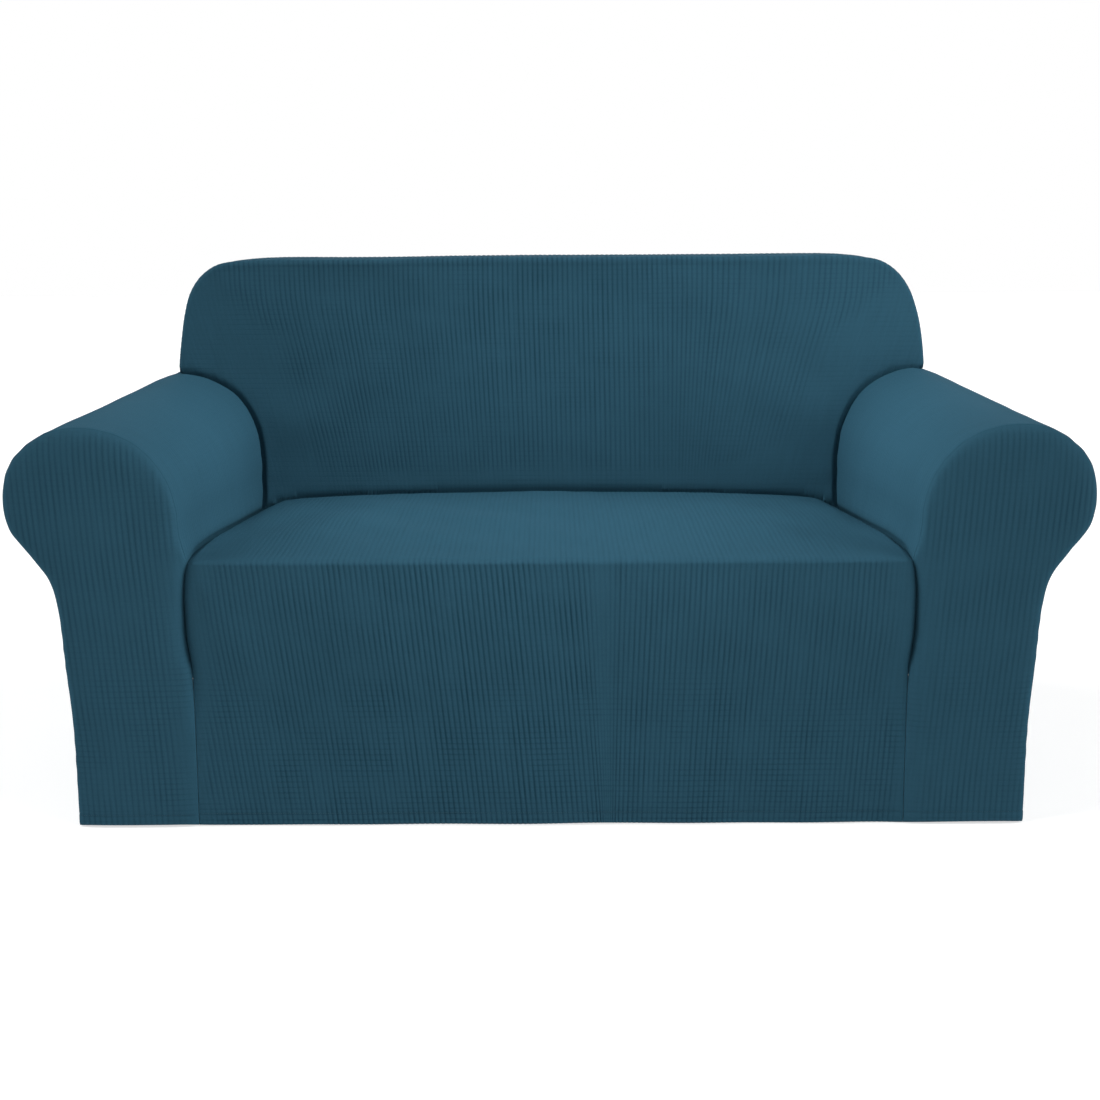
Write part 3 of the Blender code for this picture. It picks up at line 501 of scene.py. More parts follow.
def arm_form(y, s, rise):
    """Depth y and station s along the section, on the arm at +X."""
    base = along(SECTION, SECTION_RUN, s)
    inner = np.minimum(s, CREST)
    dx = spline(AT_BACK_RUN, AT_BACK_X - FRONT_THERE[:, 0], inner)
    dz = spline(AT_BACK_RUN, AT_BACK_Z - FRONT_THERE[:, 1], inner)
    past = np.clip((s - CREST) / 0.130, 0.0, 1.0)
    fade = (1 - past) ** 2
    meet = np.interp(inner, MEET_STATIONS, MEET_DEPTHS)
    share = np.clip(y / meet, 0.0, 1.0)
    grown = share ** spline(AT_BACK_RUN, AT_BACK_POWER, inner)
    beyond = smoothstep((y - meet) / (DEPTH - meet))
    grown = grown * (1 - (1 - REAR_RISE_LEFT) * beyond)
    lift = 1 + (rise - 1) * smoothstep((inner - STATION["inner_mid"]) / 0.10)
    x = base[:, 0] + grown * fade * dx
    z = base[:, 1] + grown * fade * dz * lift
    seat = spline(*columns(SEAT_SIDE, 1, 2), share)
    straight = SEAT_SIDE[0][2] + share * (SEAT_SIDE[-1][2] - SEAT_SIDE[0][2])
    z = z + (seat - straight) * np.exp(-s / 0.035)
    y = y + SKIRT_SEAM[0][3] * np.exp(-s / 0.020) * (1 - share)
    return np.stack([x, y, z], -1)


def seat_rise(x, y):
    """Height of the seat's cloth."""
    back = FACE_FOOT
    share = np.clip(y / back, 0.0, 1.0)
    rear = spline(*columns(SEAT_REAR, 1, 2), np.minimum(np.abs(x), SEAT_REAR[-1][1]))
    side = spline(*columns(SEAT_SIDE, 1, 2), share)
    half_width = SKIRT_SEAM[0][2] + share * (SEAT_REAR[-1][1] - SKIRT_SEAM[0][2])
    middle = SEAT_HEIGHT + 0.006 * np.sin(math.pi * share)
    plain = middle + (rear - SEAT_REAR[0][2]) * share**2.2
    edge = np.exp(-np.maximum(half_width - np.abs(x), 0) / 0.030)
    corner = SEAT_REAR[-1][2] - SEAT_REAR[0][2]
    at_side = middle + corner * share**2.2
    return plain + (side - at_side) * edge


TURN_START = SEAT_HEIGHT - SEAT_EDGE_RADIUS
TURN_LENGTH = SEAT_EDGE_RADIUS * math.pi / 2


def skirt_out(x, z):
    """How far the skirt's cloth stands in front of the arm fronts' seam, negative in the tuck."""
    zz, xx, tuck = columns(SKIRT_SEAM[::-1], 1, 2, 3)
    zc = np.clip(z, 0, zz[-1])
    side = spline(zz, xx, zc)
    depth = spline(zz, tuck, zc)
    inward = np.maximum(side - np.abs(x), 0)
    bulge = smoothstep((z - 0.13) / 0.20) * (1 - 0.35 * smoothstep((z - 0.35) / 0.07))
    bulge = SKIRT_BULGE * bulge * (1 - np.exp(-inward / 0.050))
    return bulge - depth * np.exp(-((inward / 0.008) ** 1.4))


def seat_skirt_form(p, q):
    """q runs from the hem up the skirt, round the front edge and back over the seat."""
    turned = np.clip((q - TURN_START) / SEAT_EDGE_RADIUS, 0.0, math.pi / 2)
    back = np.maximum(q - TURN_START - TURN_LENGTH, 0.0)
    y = SEAT_EDGE_RADIUS * (1 - np.cos(turned)) + back
    z = np.minimum(q, TURN_START) + SEAT_EDGE_RADIUS * np.sin(turned)
    front = np.cos(turned)
    top = np.sin(turned)
    out = skirt_out(p, np.minimum(z, TURN_START))
    y = y - out * front
    z = z + (seat_rise(p, y) - SEAT_HEIGHT) * top
    return np.stack([p, y, z], -1)


def seat_q(y):
    return TURN_START + TURN_LENGTH + (y - SEAT_EDGE_RADIUS)


def distance_to(line, x, z):
    """Distance from points to a run of points in a plane."""
    return nearest_on(line, x, z)[0]


def nearest_on(line, x, z):
    """Distance from points to a run of points in a plane, and how far along it."""
    a, b = line[:-1], line[1:]
    ab = b - a
    length2 = np.maximum((ab**2).sum(1), 1e-18)
    run = run_of(line)
    p = np.stack([x, z], -1)
    best, where = np.full(len(p), 9.0), np.zeros(len(p))
    for lo in range(0, len(p), 1500):
        q = p[lo : lo + 1500]
        dx, dz = q[:, 0][:, None] - a[:, 0], q[:, 1][:, None] - a[:, 1]
        t = np.clip((dx * ab[:, 0] + dz * ab[:, 1]) / length2, 0, 1)
        d2 = (dx - t * ab[:, 0]) ** 2 + (dz - t * ab[:, 1]) ** 2
        i = d2.argmin(1)
        r = np.arange(len(q))
        best[lo : lo + 1500] = np.sqrt(d2[r, i])
        where[lo : lo + 1500] = run[i] + t[r, i] * (run[i + 1] - run[i])
    return best, where


SECTION_COARSE = even(SECTION, 0.006)


def arm_front_form(p, q):
    """On the arm at +X: flat, swelling softly out of its seams, drawn in along the tuck."""
    zz, xx, tuck = columns(SKIRT_SEAM[::-1], 1, 2, 3)
    to_roll = distance_to(SECTION_COARSE, p, q)
    zc = np.clip(q, 0, zz[-1])
    to_skirt = np.maximum(p - spline(zz, xx, zc), 0) + np.maximum(q - zz[-1], 0)
    depth = spline(zz, tuck, zc)
    low = np.exp(-to_skirt / 0.007)
    crown = FRONT_CROWN * (1 - np.exp(-to_roll / FRONT_CROWN_EDGE))
    calm = 1 - 0.5 * smoothstep((0.22 - q) / 0.15)
    crown = crown * (1 - np.exp(-to_skirt / FRONT_CROWN_EDGE)) * calm
    return np.stack([p, depth * low - crown, q], -1)


def outside_back_form(p, q):
    edge = np.minimum(0.73 - np.abs(p), 0.83 - q)
    crown = REAR_CROWN * smoothstep((edge - 0.0) / 0.10) * (0.5 + 0.5 * smoothstep(q / 0.25))
    return np.stack([p, DEPTH + crown, q], -1)


# ---------------------------------------------------------------- cloth in detail
def waves(seed, count, low, high):
    """A smooth uneven field over a plane, as a sum of seeded waves between two wave lengths."""
    rng = np.random.default_rng(seed)
    angle = rng.uniform(0, 2 * math.pi, count)
    length = low * (high / low) ** rng.uniform(0, 1, count)
    phase = rng.uniform(0, 2 * math.pi, count)
    size = (length / high) ** 0.6
    size /= math.sqrt((size**2).sum() / 2)

    def field(p, q):
        total = np.zeros_like(p)
        for a, l, f, k in zip(angle, length, phase, size):
            total += k * np.sin(2 * math.pi * (np.cos(a) * p + np.sin(a) * q) / l + f)
        return total

    return field


def fold_field(folds, p, q):
    """Soft ridges and troughs along short lines, which fade out at their ends."""
    total = np.zeros_like(p)
    for _, p0, q0, p1, q1, width, height in folds:
        ab = np.array([p1 - p0, q1 - q0])
        length = np.linalg.norm(ab)
        u = ((p - p0) * ab[0] + (q - q0) * ab[1]) / length
        v = ((q - q0) * ab[0] - (p - p0) * ab[1]) / length
        v = v + 0.18 * width * np.sin(u / length * 5.0 + p0 * 40)
        ends = smoothstep((u + 0.25 * length) / (0.55 * length))
        ends = ends * smoothstep((1.25 * length - u) / (0.55 * length))
        spread_out = width * (0.75 + 0.5 * np.clip(u / length, 0, 1))
        total += height * ends * np.exp(-((v / spread_out) ** 2))
    return total


def hem_line(x, y):
    """Height of the hem's edge, which isn't quite straight."""
    wave = np.sin(x * 13.0 + 0.7) * np.cos(y * 11.0 + x * 4.0) + 0.6 * np.sin(x * 31.0 + y * 27.0)
    return 0.0010 + 0.0006 * wave


def rib_height(u):
    """Relief across a rib, through the places of its profile."""
    table = np.array(RIB_PROFILE + RIB_PROFILE[:1])
    return np.interp(u % 1.0, np.linspace(0, 1, len(table)), table)


def within(loop, points):
    """True for the points that lie inside a closed loop."""
    a, b = loop, np.roll(loop, -1, 0)
    found = np.zeros(len(points), bool)
    for lo in range(0, len(points), 2000):
        x, y = points[lo : lo + 2000, 0][:, None], points[lo : lo + 2000, 1][:, None]
        cross = (a[:, 1] > y) != (b[:, 1] > y)
        with np.errstate(divide="ignore", invalid="ignore"):
            at = a[:, 0] + (y - a[:, 1]) * (b[:, 0] - a[:, 0]) / (b[:, 1] - a[:, 1])
        found[lo : lo + 2000] = (cross & (x < at)).sum(1) % 2 == 1
    return found


def outward(form, p, q, guide):
    """Unit normals of a form at pattern points, on the side that guide points to."""
    e = 1.5e-4
    du = form(p + e, q) - form(p - e, q)
    dv = form(p, q + e) - form(p, q - e)
    n = np.cross(du, dv)
    n /= np.maximum(np.linalg.norm(n, axis=1, keepdims=True), 1e-12)
    return n * guide


def inward_of(loop):
    """Unit directions from each loop point to the inside of the loop."""
    nxt, prv = np.roll(loop, -1, 0), np.roll(loop, 1, 0)
    t = nxt - prv
    t /= np.maximum(np.linalg.norm(t, axis=1, keepdims=True), 1e-9)
    area = 0.5 * np.sum(loop[:, 0] * nxt[:, 1] - nxt[:, 0] * loop[:, 1])
    return np.stack([-t[:, 1], t[:, 0]], -1) * (1 if area > 0 else -1)


def spot(point):
    return tuple(int(round(c * 1e6)) for c in point)


def kind_of(seam):
    """The tables' name for a seam, without its side."""
    for tail in ("_left", "_right"):
        if seam.endswith(tail):
            return seam[: -len(tail)]
    return seam


class Sheet:
    """One panel. Its outline is runs of (seam name, pattern points, places) round the sheet."""

    def __init__(self, name, cut, form, guide, rows, lean=None, seed=1):
        self.name, self.form, self.guide, self.rows, self.seed = name, form, guide, rows, seed
        self.pitch, self.relief, self.first = KNIT[cut]
        self.folds = FOLDS[cut]
        self.lean = lean or (lambda w, q: np.zeros_like(w))
        self.shown = lambda w, q: np.ones_like(w)  # share of a full rib, by place
        self.checks = lambda w, q: np.full_like(w, 0.3)  # share of a full course line
        self.damp = lambda p, q: np.ones_like(p)  # share of the broad unevenness
        self.seam_fade = 0.0060
        self.flat, self.place, self.key, self.runs = [], [], [], []

    def edge(self, seam, flat, place):
        """Adds a run of the outline. Its last point is left to the next run."""
        flat, place = np.asarray(flat, float), np.asarray(place, float)
        self.runs.append((seam, flat))
        self.flat.append(flat[:-1])
        self.place.append(place[:-1])
        self.key += [seam] * (len(place) - 1)

    def to_knit(self, p, q):
        """Where a pattern point lies across the ribs."""
        w = p - self.lean(np.array(p, float), q)
        e = 1e-4
        for _ in range(7):
            miss = w + self.lean(w, q) - p
            slope = 1 + (self.lean(w + e, q) - self.lean(w - e, q)) / (2 * e)
            w = w - np.clip(miss / np.maximum(slope, 0.2), -0.03, 0.03)
        return w

    def hem_columns(self, a, b):
        """Hem points between two pattern places, one on each column of the ribs."""
        step = self.pitch / STEPS_PER_RIB
        wa, wb = self.to_knit(np.array([a, b]), np.zeros(2))
        lo, hi = min(wa, wb), max(wa, wb)
        k = np.arange(math.ceil(lo / step + 0.6), math.floor(hi / step - 0.6) + 1)
        w = k * step
        p = w + self.lean(w, np.zeros_like(w))
        if a > b:
            p = p[::-1]
        return np.concatenate([[a], p, [b]])

    def close(self):
        self.flat, self.place = np.vstack(self.flat), np.vstack(self.place)
        beside = self.flat + 0.004 * inward_of(self.flat)
        self.edge_out = outward(self.form, beside[:, 0], beside[:, 1], self.guide)

    # ---- relief
    def fields(self, p, q):
        """For each point: its nearest seam's pull, gathering, and distances."""
        to_seam = np.full(len(p), 9.0)
        to_hem = np.full(len(p), 9.0)
        drawn, gather = np.zeros(len(p)), np.zeros(len(p))
        for number, (seam, line) in enumerate(self.runs):
            if seam == "hem":
                to_hem = np.minimum(to_hem, np.abs(q - self.hem_q))
                continue
            rough = even(line, 0.010)
            near = nearest_on(rough, p, q)[0]
            close_by = near < 0.085
            d, run = near.copy(), np.zeros(len(p))
            d[close_by], run[close_by] = nearest_on(line, p[close_by], q[close_by])
            to_seam = np.minimum(to_seam, d)
            depth, width = DRAWN[kind_of(seam)]
            depth = depth * self.drawn_share(seam, line, run)
            drawn = np.minimum(drawn, -depth * np.exp(-((d / width) ** 1.6)))
            height, wave, reach = GATHER[kind_of(seam)]
            rng = np.random.default_rng(self.seed * 31 + number)
            f1, f2, f3 = rng.uniform(0, 2 * math.pi, 3)
            beat = 0.55 + 0.45 * np.sin(2 * math.pi * run / (wave * 5.3) + f2)
            ripple = np.sin(2 * math.pi * run / wave + 1.1 * np.sin(run / (wave * 1.7) + f3) + f1)
            body = (d / (0.35 * reach)) * np.exp(1 - d / (0.35 * reach))
            gather = gather + height * ripple * beat * body * np.exp(-((d / (2.2 * reach)) ** 2))
        return to_seam, to_hem, drawn, gather

    def drawn_share(self, seam, line, run):
        """Deep creases ease off towards their ends."""
        length = run_of(line)[-1]
        kind = kind_of(seam)
        if kind == "skirt":
            z = np.interp(run, run_of(line), line[:, 1])
            return 0.20 + 0.80 * smoothstep((z - 0.225) / 0.050) * smoothstep((0.440 - z) / 0.030)
        if kind not in ("back", "seat"):
            return np.ones_like(run)
        if self.from_rear.get(seam):
            run = length - run
        if kind == "seat":
            return 0.28 + 0.72 * smoothstep((run - 0.010) / 0.070)
        return 1.0 - 0.80 * smoothstep((run / length - 0.42) / 0.30)

    def rib_share(self, p, q, to_seam):
        """How much of a full rib shows at each point. No two furrows are quite alike."""
        w = self.to_knit(p, q)
        across = w / self.pitch + self.first
        rng = np.random.default_rng(self.seed + 200)
        each = rng.uniform(-1, 1, (2, 256))
        number = np.floor(across + 0.5).astype(int) % 256
        drift = 0.5 + 0.5 * waves(self.seed + 90, 6, 0.18, 0.60)(p, q)
        own = each[0][number] * (1 - 0.5 * drift) + each[1][number] * 0.5 * drift
        patch = waves(self.seed + 50, 10, 0.035, 0.16)(p, q)
        bold = np.clip(1 + RIB_SPREAD * own + 0.13 * patch, 0.20, 2.0)
        fade = smoothstep((to_seam - 0.0006) / self.seam_fade)
        return bold * fade * self.shown(w, q)

    def height(self, p, q, with_ribs=True):
        """How far the outer side stands out of the form."""
        to_seam, to_hem, drawn, gather = self.fields(p, q)
        w = self.to_knit(p, q)
        h = UNEVEN * waves(self.seed, 14, 0.10, 0.42)(p, q)
        h = h + fold_field(self.folds, p, q)
        h = h * (1 - np.exp(-((to_seam / 0.022) ** 2))) * self.damp(p, q)
        h = h + drawn + gather
        if with_ribs:
            share = self.rib_share(p, q, to_seam)
            h = h + self.relief * share * rib_height(w / self.pitch + self.first)
            h = h - 0.00035 * np.exp(-(((to_hem - HEM_HEIGHT) / 0.0016) ** 2))
            h = h + 0.00030 * smoothstep((HEM_HEIGHT - to_hem) / 0.003)
            h = h - 0.0011 * np.exp(-((to_hem / 0.0013) ** 2))
        return h


def build_sheet(sheet, normals_at):
    """One closed sheet: the ribbed outer side, the plain inner side below it, and its rim."""
    loop, place, count = sheet.flat, sheet.place.copy(), len(sheet.flat)
    step = sheet.pitch / STEPS_PER_RIB
    squeeze = ROW / step * 0.9
    hem_keys = np.array([k == "hem" for k in sheet.key])

    def knit_plane(points):
        w = sheet.to_knit(points[:, 0], points[:, 1])
        return np.stack([w, points[:, 1] / squeeze], -1)

    def keep_inside(points, margin, hem_margin=0.0008):
        closed = np.vstack([loop, loop[:1]])
        rough = closed[:: 6]
        rough = np.vstack([rough, closed[-1:]])
        near = distance_to(rough, points[:, 0], points[:, 1])
        ok = within(loop, points)
        check = np.where(ok & (near < margin + 0.012))[0]
        for seam, line in sheet.runs:
            need = hem_margin if seam == "hem" else margin
            d = distance_to(line, points[check, 0], points[check, 1])
            ok[check[d < need]] = False
        return points[ok]

    # columns follow the ribs, rows follow the courses
    w_all = sheet.to_knit(loop[:, 0], loop[:, 1])
    ks = np.arange(math.floor(w_all.min() / step), math.ceil(w_all.max() / step) + 1)
    ww, qq = np.meshgrid(ks * step, sheet.rows)
    ww, qq = ww.ravel(), qq.ravel()
    grid = np.stack([ww + sheet.lean(ww, qq), qq], -1)
    grid = keep_inside(grid, 0.0050)
    rings = []
    sides = inward_of(loop)
    for inset, every in ((0.0015, 1), (0.0033, 1)):
        ring = (loop + inset * sides)[~hem_keys][::every]
        rings.append(keep_inside(ring, inset * 0.86, 0.0020))
    points = np.vstack([loop] + rings + [grid])
    flat_points = knit_plane(points)
    found = delaunay_2d_cdt(
        [Vector(v) for v in flat_points], [], [list(range(count))], 1, 1e-7, True
    )
    index = np.array([min(o) for o in found[3]])
    tris = np.array([tuple(f) for f in found[2]])
    flats = points[index]
    only_edge = (index[tris] < count).all(1)
    middles = np.array([tuple(v) for v in found[0]])[tris[only_edge]].mean(1)
    keep = np.ones(len(tris), bool)
    keep[np.where(only_edge)[0]] = within(flat_points[:count], middles)
    tris = tris[keep]

    base = sheet.form(flats[:, 0], flats[:, 1])
    normal = outward(sheet.form, flats[:, 0], flats[:, 1], sheet.guide)
    outer = base + sheet.height(flats[:, 0], flats[:, 1])[:, None] * normal
    ribs_shown = sheet.rib_share(flats[:, 0], flats[:, 1], sheet.fields(flats[:, 0], flats[:, 1])[0])

    # the inner side, with a plainer mesh
    coarse_w = np.arange(loop[:, 0].min(), loop[:, 0].max(), INNER_STEP)
    coarse_q = np.unique(np.concatenate([sheet.rows[:: 2], [0.004, HEM_HEIGHT + 0.003]]))
    a, b = np.meshgrid(coarse_w, coarse_q)
    coarse = keep_inside(np.stack([a.ravel(), b.ravel()], -1), 0.010, 0.003)
    ring = keep_inside((loop + 0.0045 * sides)[::3], 0.0040, 0.003)
    inner_points = np.vstack([loop, ring, coarse])
    found2 = delaunay_2d_cdt(
        [Vector(v) for v in inner_points], [], [list(range(count))], 1, 1e-7, True
    )
    index2 = np.array([min(o) for o in found2[3]])
    tris2 = np.array([tuple(f) for f in found2[2]])
    flats2 = inner_points[index2]
    middles = flats2[tris2].mean(1)
    only_edge = (index2[tris2] < count).all(1)
    keep = np.ones(len(tris2), bool)
    keep[np.where(only_edge)[0]] = within(loop, middles[only_edge])
    tris2 = tris2[keep]
    normal2 = outward(sheet.form, flats2[:, 0], flats2[:, 1], sheet.guide)
    behind = sheet.height(flats2[:, 0], flats2[:, 1], False) - CLOTH
    if "hem" in sheet.key:
        behind = behind - HEM_THICK * smoothstep((HEM_HEIGHT + 0.003 - flats2[:, 1]) / 0.003)
    inner = sheet.form(flats2[:, 0], flats2[:, 1]) + behind[:, None] * normal2

    # the outline, shared with the neighbours but for a hair's breadth
    prev_place, next_place = np.roll(place, 1, 0), np.roll(place, -1, 0)
    area = 0.5 * np.sum(loop[:, 0] * np.roll(loop[:, 1], -1) - np.roll(loop[:, 0], -1) * loop[:, 1])
    turn = sheet.guide * (1 if area > 0 else -1)
    slot_out = {i: v for v, i in enumerate(index) if i < count}
    slot_in = {i: v for v, i in enumerate(index2) if i < count}
    hem_relief = sheet.height(loop[:, 0], loop[:, 1])
    for i in range(count):
        here = place[i]
        shared = normals_at[spot(here)]
        n_own = sheet.edge_out[i]
        on_hem = here[2] < 0.004
        stack = np.array(shared)
        if on_hem:
            stack[:, 2] = 0
            stack /= np.linalg.norm(stack, axis=1, keepdims=True)
        if len(stack) == 1:
            down = -stack[0]
        elif len(stack) == 2:
            down = -(stack[0] + stack[1]) / max(1 + stack[0] @ stack[1], 0.5)
        else:
            down = np.linalg.lstsq(stack, -np.ones(len(stack)), rcond=None)[0]
            down *= min(1.0, 2.2 / np.linalg.norm(down))
        pull = np.zeros(3)
        for seam, a_, b_ in (
            (sheet.key[i - 1], prev_place[i], here),
            (sheet.key[i], here, next_place[i]),
        ):
            if seam == "hem":
                continue
            t = (b_ - a_) / np.linalg.norm(b_ - a_)
            m = np.cross(n_own, t) * turn
            m /= np.linalg.norm(m)
            if pull @ m < 0.9 * SEAM_GAP / 2:
                pull = pull + m * (SEAM_GAP / 2 - max(pull @ m, 0.0))
            pull *= 1.35
        on_seam = not (sheet.key[i] == "hem" and sheet.key[i - 1] == "hem")
        if on_seam:
            depth = sheet.sunk[i]
        else:
            depth = -hem_relief[i]
        thick = CLOTH
        if on_hem:
            pull[2] = 0
            thick = CLOTH + 0.6 * HEM_THICK
        outer[slot_out[i]] = here + pull + down * depth
        inner[slot_in[i]] = here + pull + down * (depth + thick)
        if on_hem and not on_seam:
            inner[slot_in[i]] = here + pull + down * (depth + thick - 0.0011)
        if on_hem:
            outer[slot_out[i]][2] = inner[slot_in[i]][2] = here[2]

    n = len(outer)
    if sheet.guide < 0:
        tris, tris2 = tris[:, ::-1], tris2[:, ::-1]
    edges = {}
    for t in tris[(index[tris] < count).sum(1) >= 2]:
        for a_, b_ in ((t[0], t[1]), (t[1], t[2]), (t[2], t[0])):
            edges[(a_, b_)] = True
    rim = []
    for a_, b_ in edges:
        if (b_, a_) in edges or index[a_] >= count or index[b_] >= count:
            continue
        gap = abs(int(index[a_]) - int(index[b_]))
        if gap not in (1, count - 1):
            continue
        ia, ib = n + slot_in[index[a_]], n + slot_in[index[b_]]
        rim += [(b_, a_, ia), (b_, ia, ib)]
    faces = np.vstack([tris, n + tris2[:, ::-1], np.array(rim)])
    verts = np.vstack([outer, inner]) + np.array(SHIFT)
    mesh = bpy.data.meshes.new(sheet.name)
    mesh.vertices.add(len(verts))
    mesh.vertices.foreach_set("co", verts.astype(np.float32).ravel())
    mesh.loops.add(len(faces) * 3)
    mesh.polygons.add(len(faces))
    mesh.polygons.foreach_set("loop_start", np.arange(0, len(faces) * 3, 3, dtype=np.int32))
    mesh.loops.foreach_set("vertex_index", faces.astype(np.int32).ravel())
    mesh.update(calc_edges=True)
    mesh.validate()
    # ribs across, courses along
    pattern = np.vstack([flats, flats2])
    w = sheet.to_knit(pattern[:, 0], pattern[:, 1])
    knit = np.stack([w / sheet.pitch + sheet.first, pattern[:, 1] / COURSE], -1)
    # how much of the ribs (their relief and their painted furrow shade) and of the check's cross lines shows
    # there
    shares = np.stack(
        [
            np.concatenate([ribs_shown, np.ones(len(flats2))]) / 2,
            np.clip(sheet.checks(w, pattern[:, 1]), 0, 1),
        ],
        -1,
    )
    at = np.empty(len(mesh.loops), np.int32)
    mesh.loops.foreach_get("vertex_index", at)
    for title, values in (("knit", knit), ("shares", shares)):
        layer = mesh.uv_layers.new(name=title)
        layer.uv.foreach_set("vector", values[at].astype(np.float32).ravel())
    mesh.shade_smooth()
    mesh.set_sharp_from_angle(angle=math.radians(62))
    return mesh


# ---------------------------------------------------------------- seams
def seams():
    """Places of every seam, shared by the two panels beside it, as {name: (places, pattern)}."""
    found = {}
    look = np.linspace(CREST, STATION["roll_high"], 200)
    xs = along(SECTION, SECTION_RUN, look)[:, 0]
    for side, sign, rise in SIDES:
        flip = np.array([sign, 1.0, 1.0])
        s_out = np.interp([row[1] + sign * BACK_ASKEW for row in SEAM_BEHIND_CREST], xs, look)
        rear_station = s_out[-1]

        def form(y, s, rise=rise, flip=flip):
            return arm_form(y, s, rise) * flip

        s_front = np.linspace(0.0, SECTION_LENGTH, int(SECTION_LENGTH / ALONG_SEAM))
        s_front[-1] -= hem_line(sign * SECTION[-1][0], 0.0)
        y_front = np.zeros_like(s_front)
        found["front_" + side] = (form(y_front, s_front), np.stack([y_front, s_front], -1))
        s_rear = np.linspace(rear_station, SECTION_LENGTH, int((SECTION_LENGTH - rear_station) / ALONG_SEAM))
        s_rear[-1] -= hem_line(sign * SECTION[-1][0], DEPTH)
        y_rear = np.full_like(s_rear, DEPTH)
        found["rear_" + side] = (form(y_rear, s_rear), np.stack([y_rear, s_rear], -1))
        s_in = np.linspace(0.0, CREST, 60)
        y_in = np.interp(s_in, MEET_STATIONS, MEET_DEPTHS)
        y_out = np.array([row[2] for row in SEAM_BEHIND_CREST])
        line = np.vstack([np.stack([y_in, s_in], -1), np.stack([y_out, s_out], -1)])
        line = np.vstack([even(round_curve(line, 6), ALONG_SEAM)[:-1], line[-1:]])
        found["back_" + side] = (form(line[:, 0], line[:, 1]), line)
        y_seat = np.linspace(0.0, y_in[0], int(y_in[0] / ALONG_SEAM))
        found["seat_" + side] = (form(y_seat, 0 * y_seat), np.stack([y_seat, 0 * y_seat], -1))
        zz, xx, tuck = columns(SKIRT_SEAM[::-1], 1, 2, 3)
        z = np.linspace(0.0, zz[-1], int(zz[-1] / ALONG_SEAM))
        z[0] = hem_line(sign * xx[0], 0.0)
        places = np.stack([sign * spline(zz, xx, z), spline(zz, tuck, z), z], -1)
        places[-1] = found["front_" + side][0][0]
        found["skirt_" + side] = (places, z)
    corner = found["back_left"][0][0], found["back_right"][0][0]
    x = np.linspace(corner[0][0], corner[1][0], int(1.05 / ALONG_SEAM))
    z = spline(*columns(SEAT_REAR, 1, 2), np.abs(x))
    y = backrest_depth(x, z)
    middle = np.stack([x, y, z], -1)
    middle[0], middle[-1] = corner
    found["seat_back"] = (middle, None)
    ends = found["rear_left"][0][0], found["rear_right"][0][0]
    up, down = slice(0, TOP_MIDDLE), slice(None, TOP_MIDDLE, -1)
    run_from = np.interp(ends[0][2], OUTLINE[up, 1], OUTLINE_RUN[up])
    run_to = np.interp(ends[1][2], OUTLINE[down, 1], OUTLINE_RUN[down])
    run = np.linspace(run_from, run_to, int((run_to - run_from) / ALONG_SEAM))
    at = along(OUTLINE, OUTLINE_RUN, run)
    out = along(OUTLINE_OUT, OUTLINE_RUN, run)
    at = at - REAR_INSET * out
    top = np.stack([at[:, 0], np.full(len(at), DEPTH), at[:, 1]], -1)
    top[0], top[-1] = ends
    found["top"] = (top, run)
    return found


def rows_between(*stops):
    """Rows along the ribs: (from, to, step), one after another."""
    out = []
    for a, b, step in stops:
        out += list(np.linspace(a, b, max(2, int(round((b - a) / step)) + 1))[:-1])
    return np.array(out + [stops[-1][1]])


HEM_ROWS = ((0.0035, 0.0075, 0.002), (0.0075, 0.0155, 0.004), (0.0155, 0.0235, 0.0016), (0.0235, 0.0345, 0.0055))


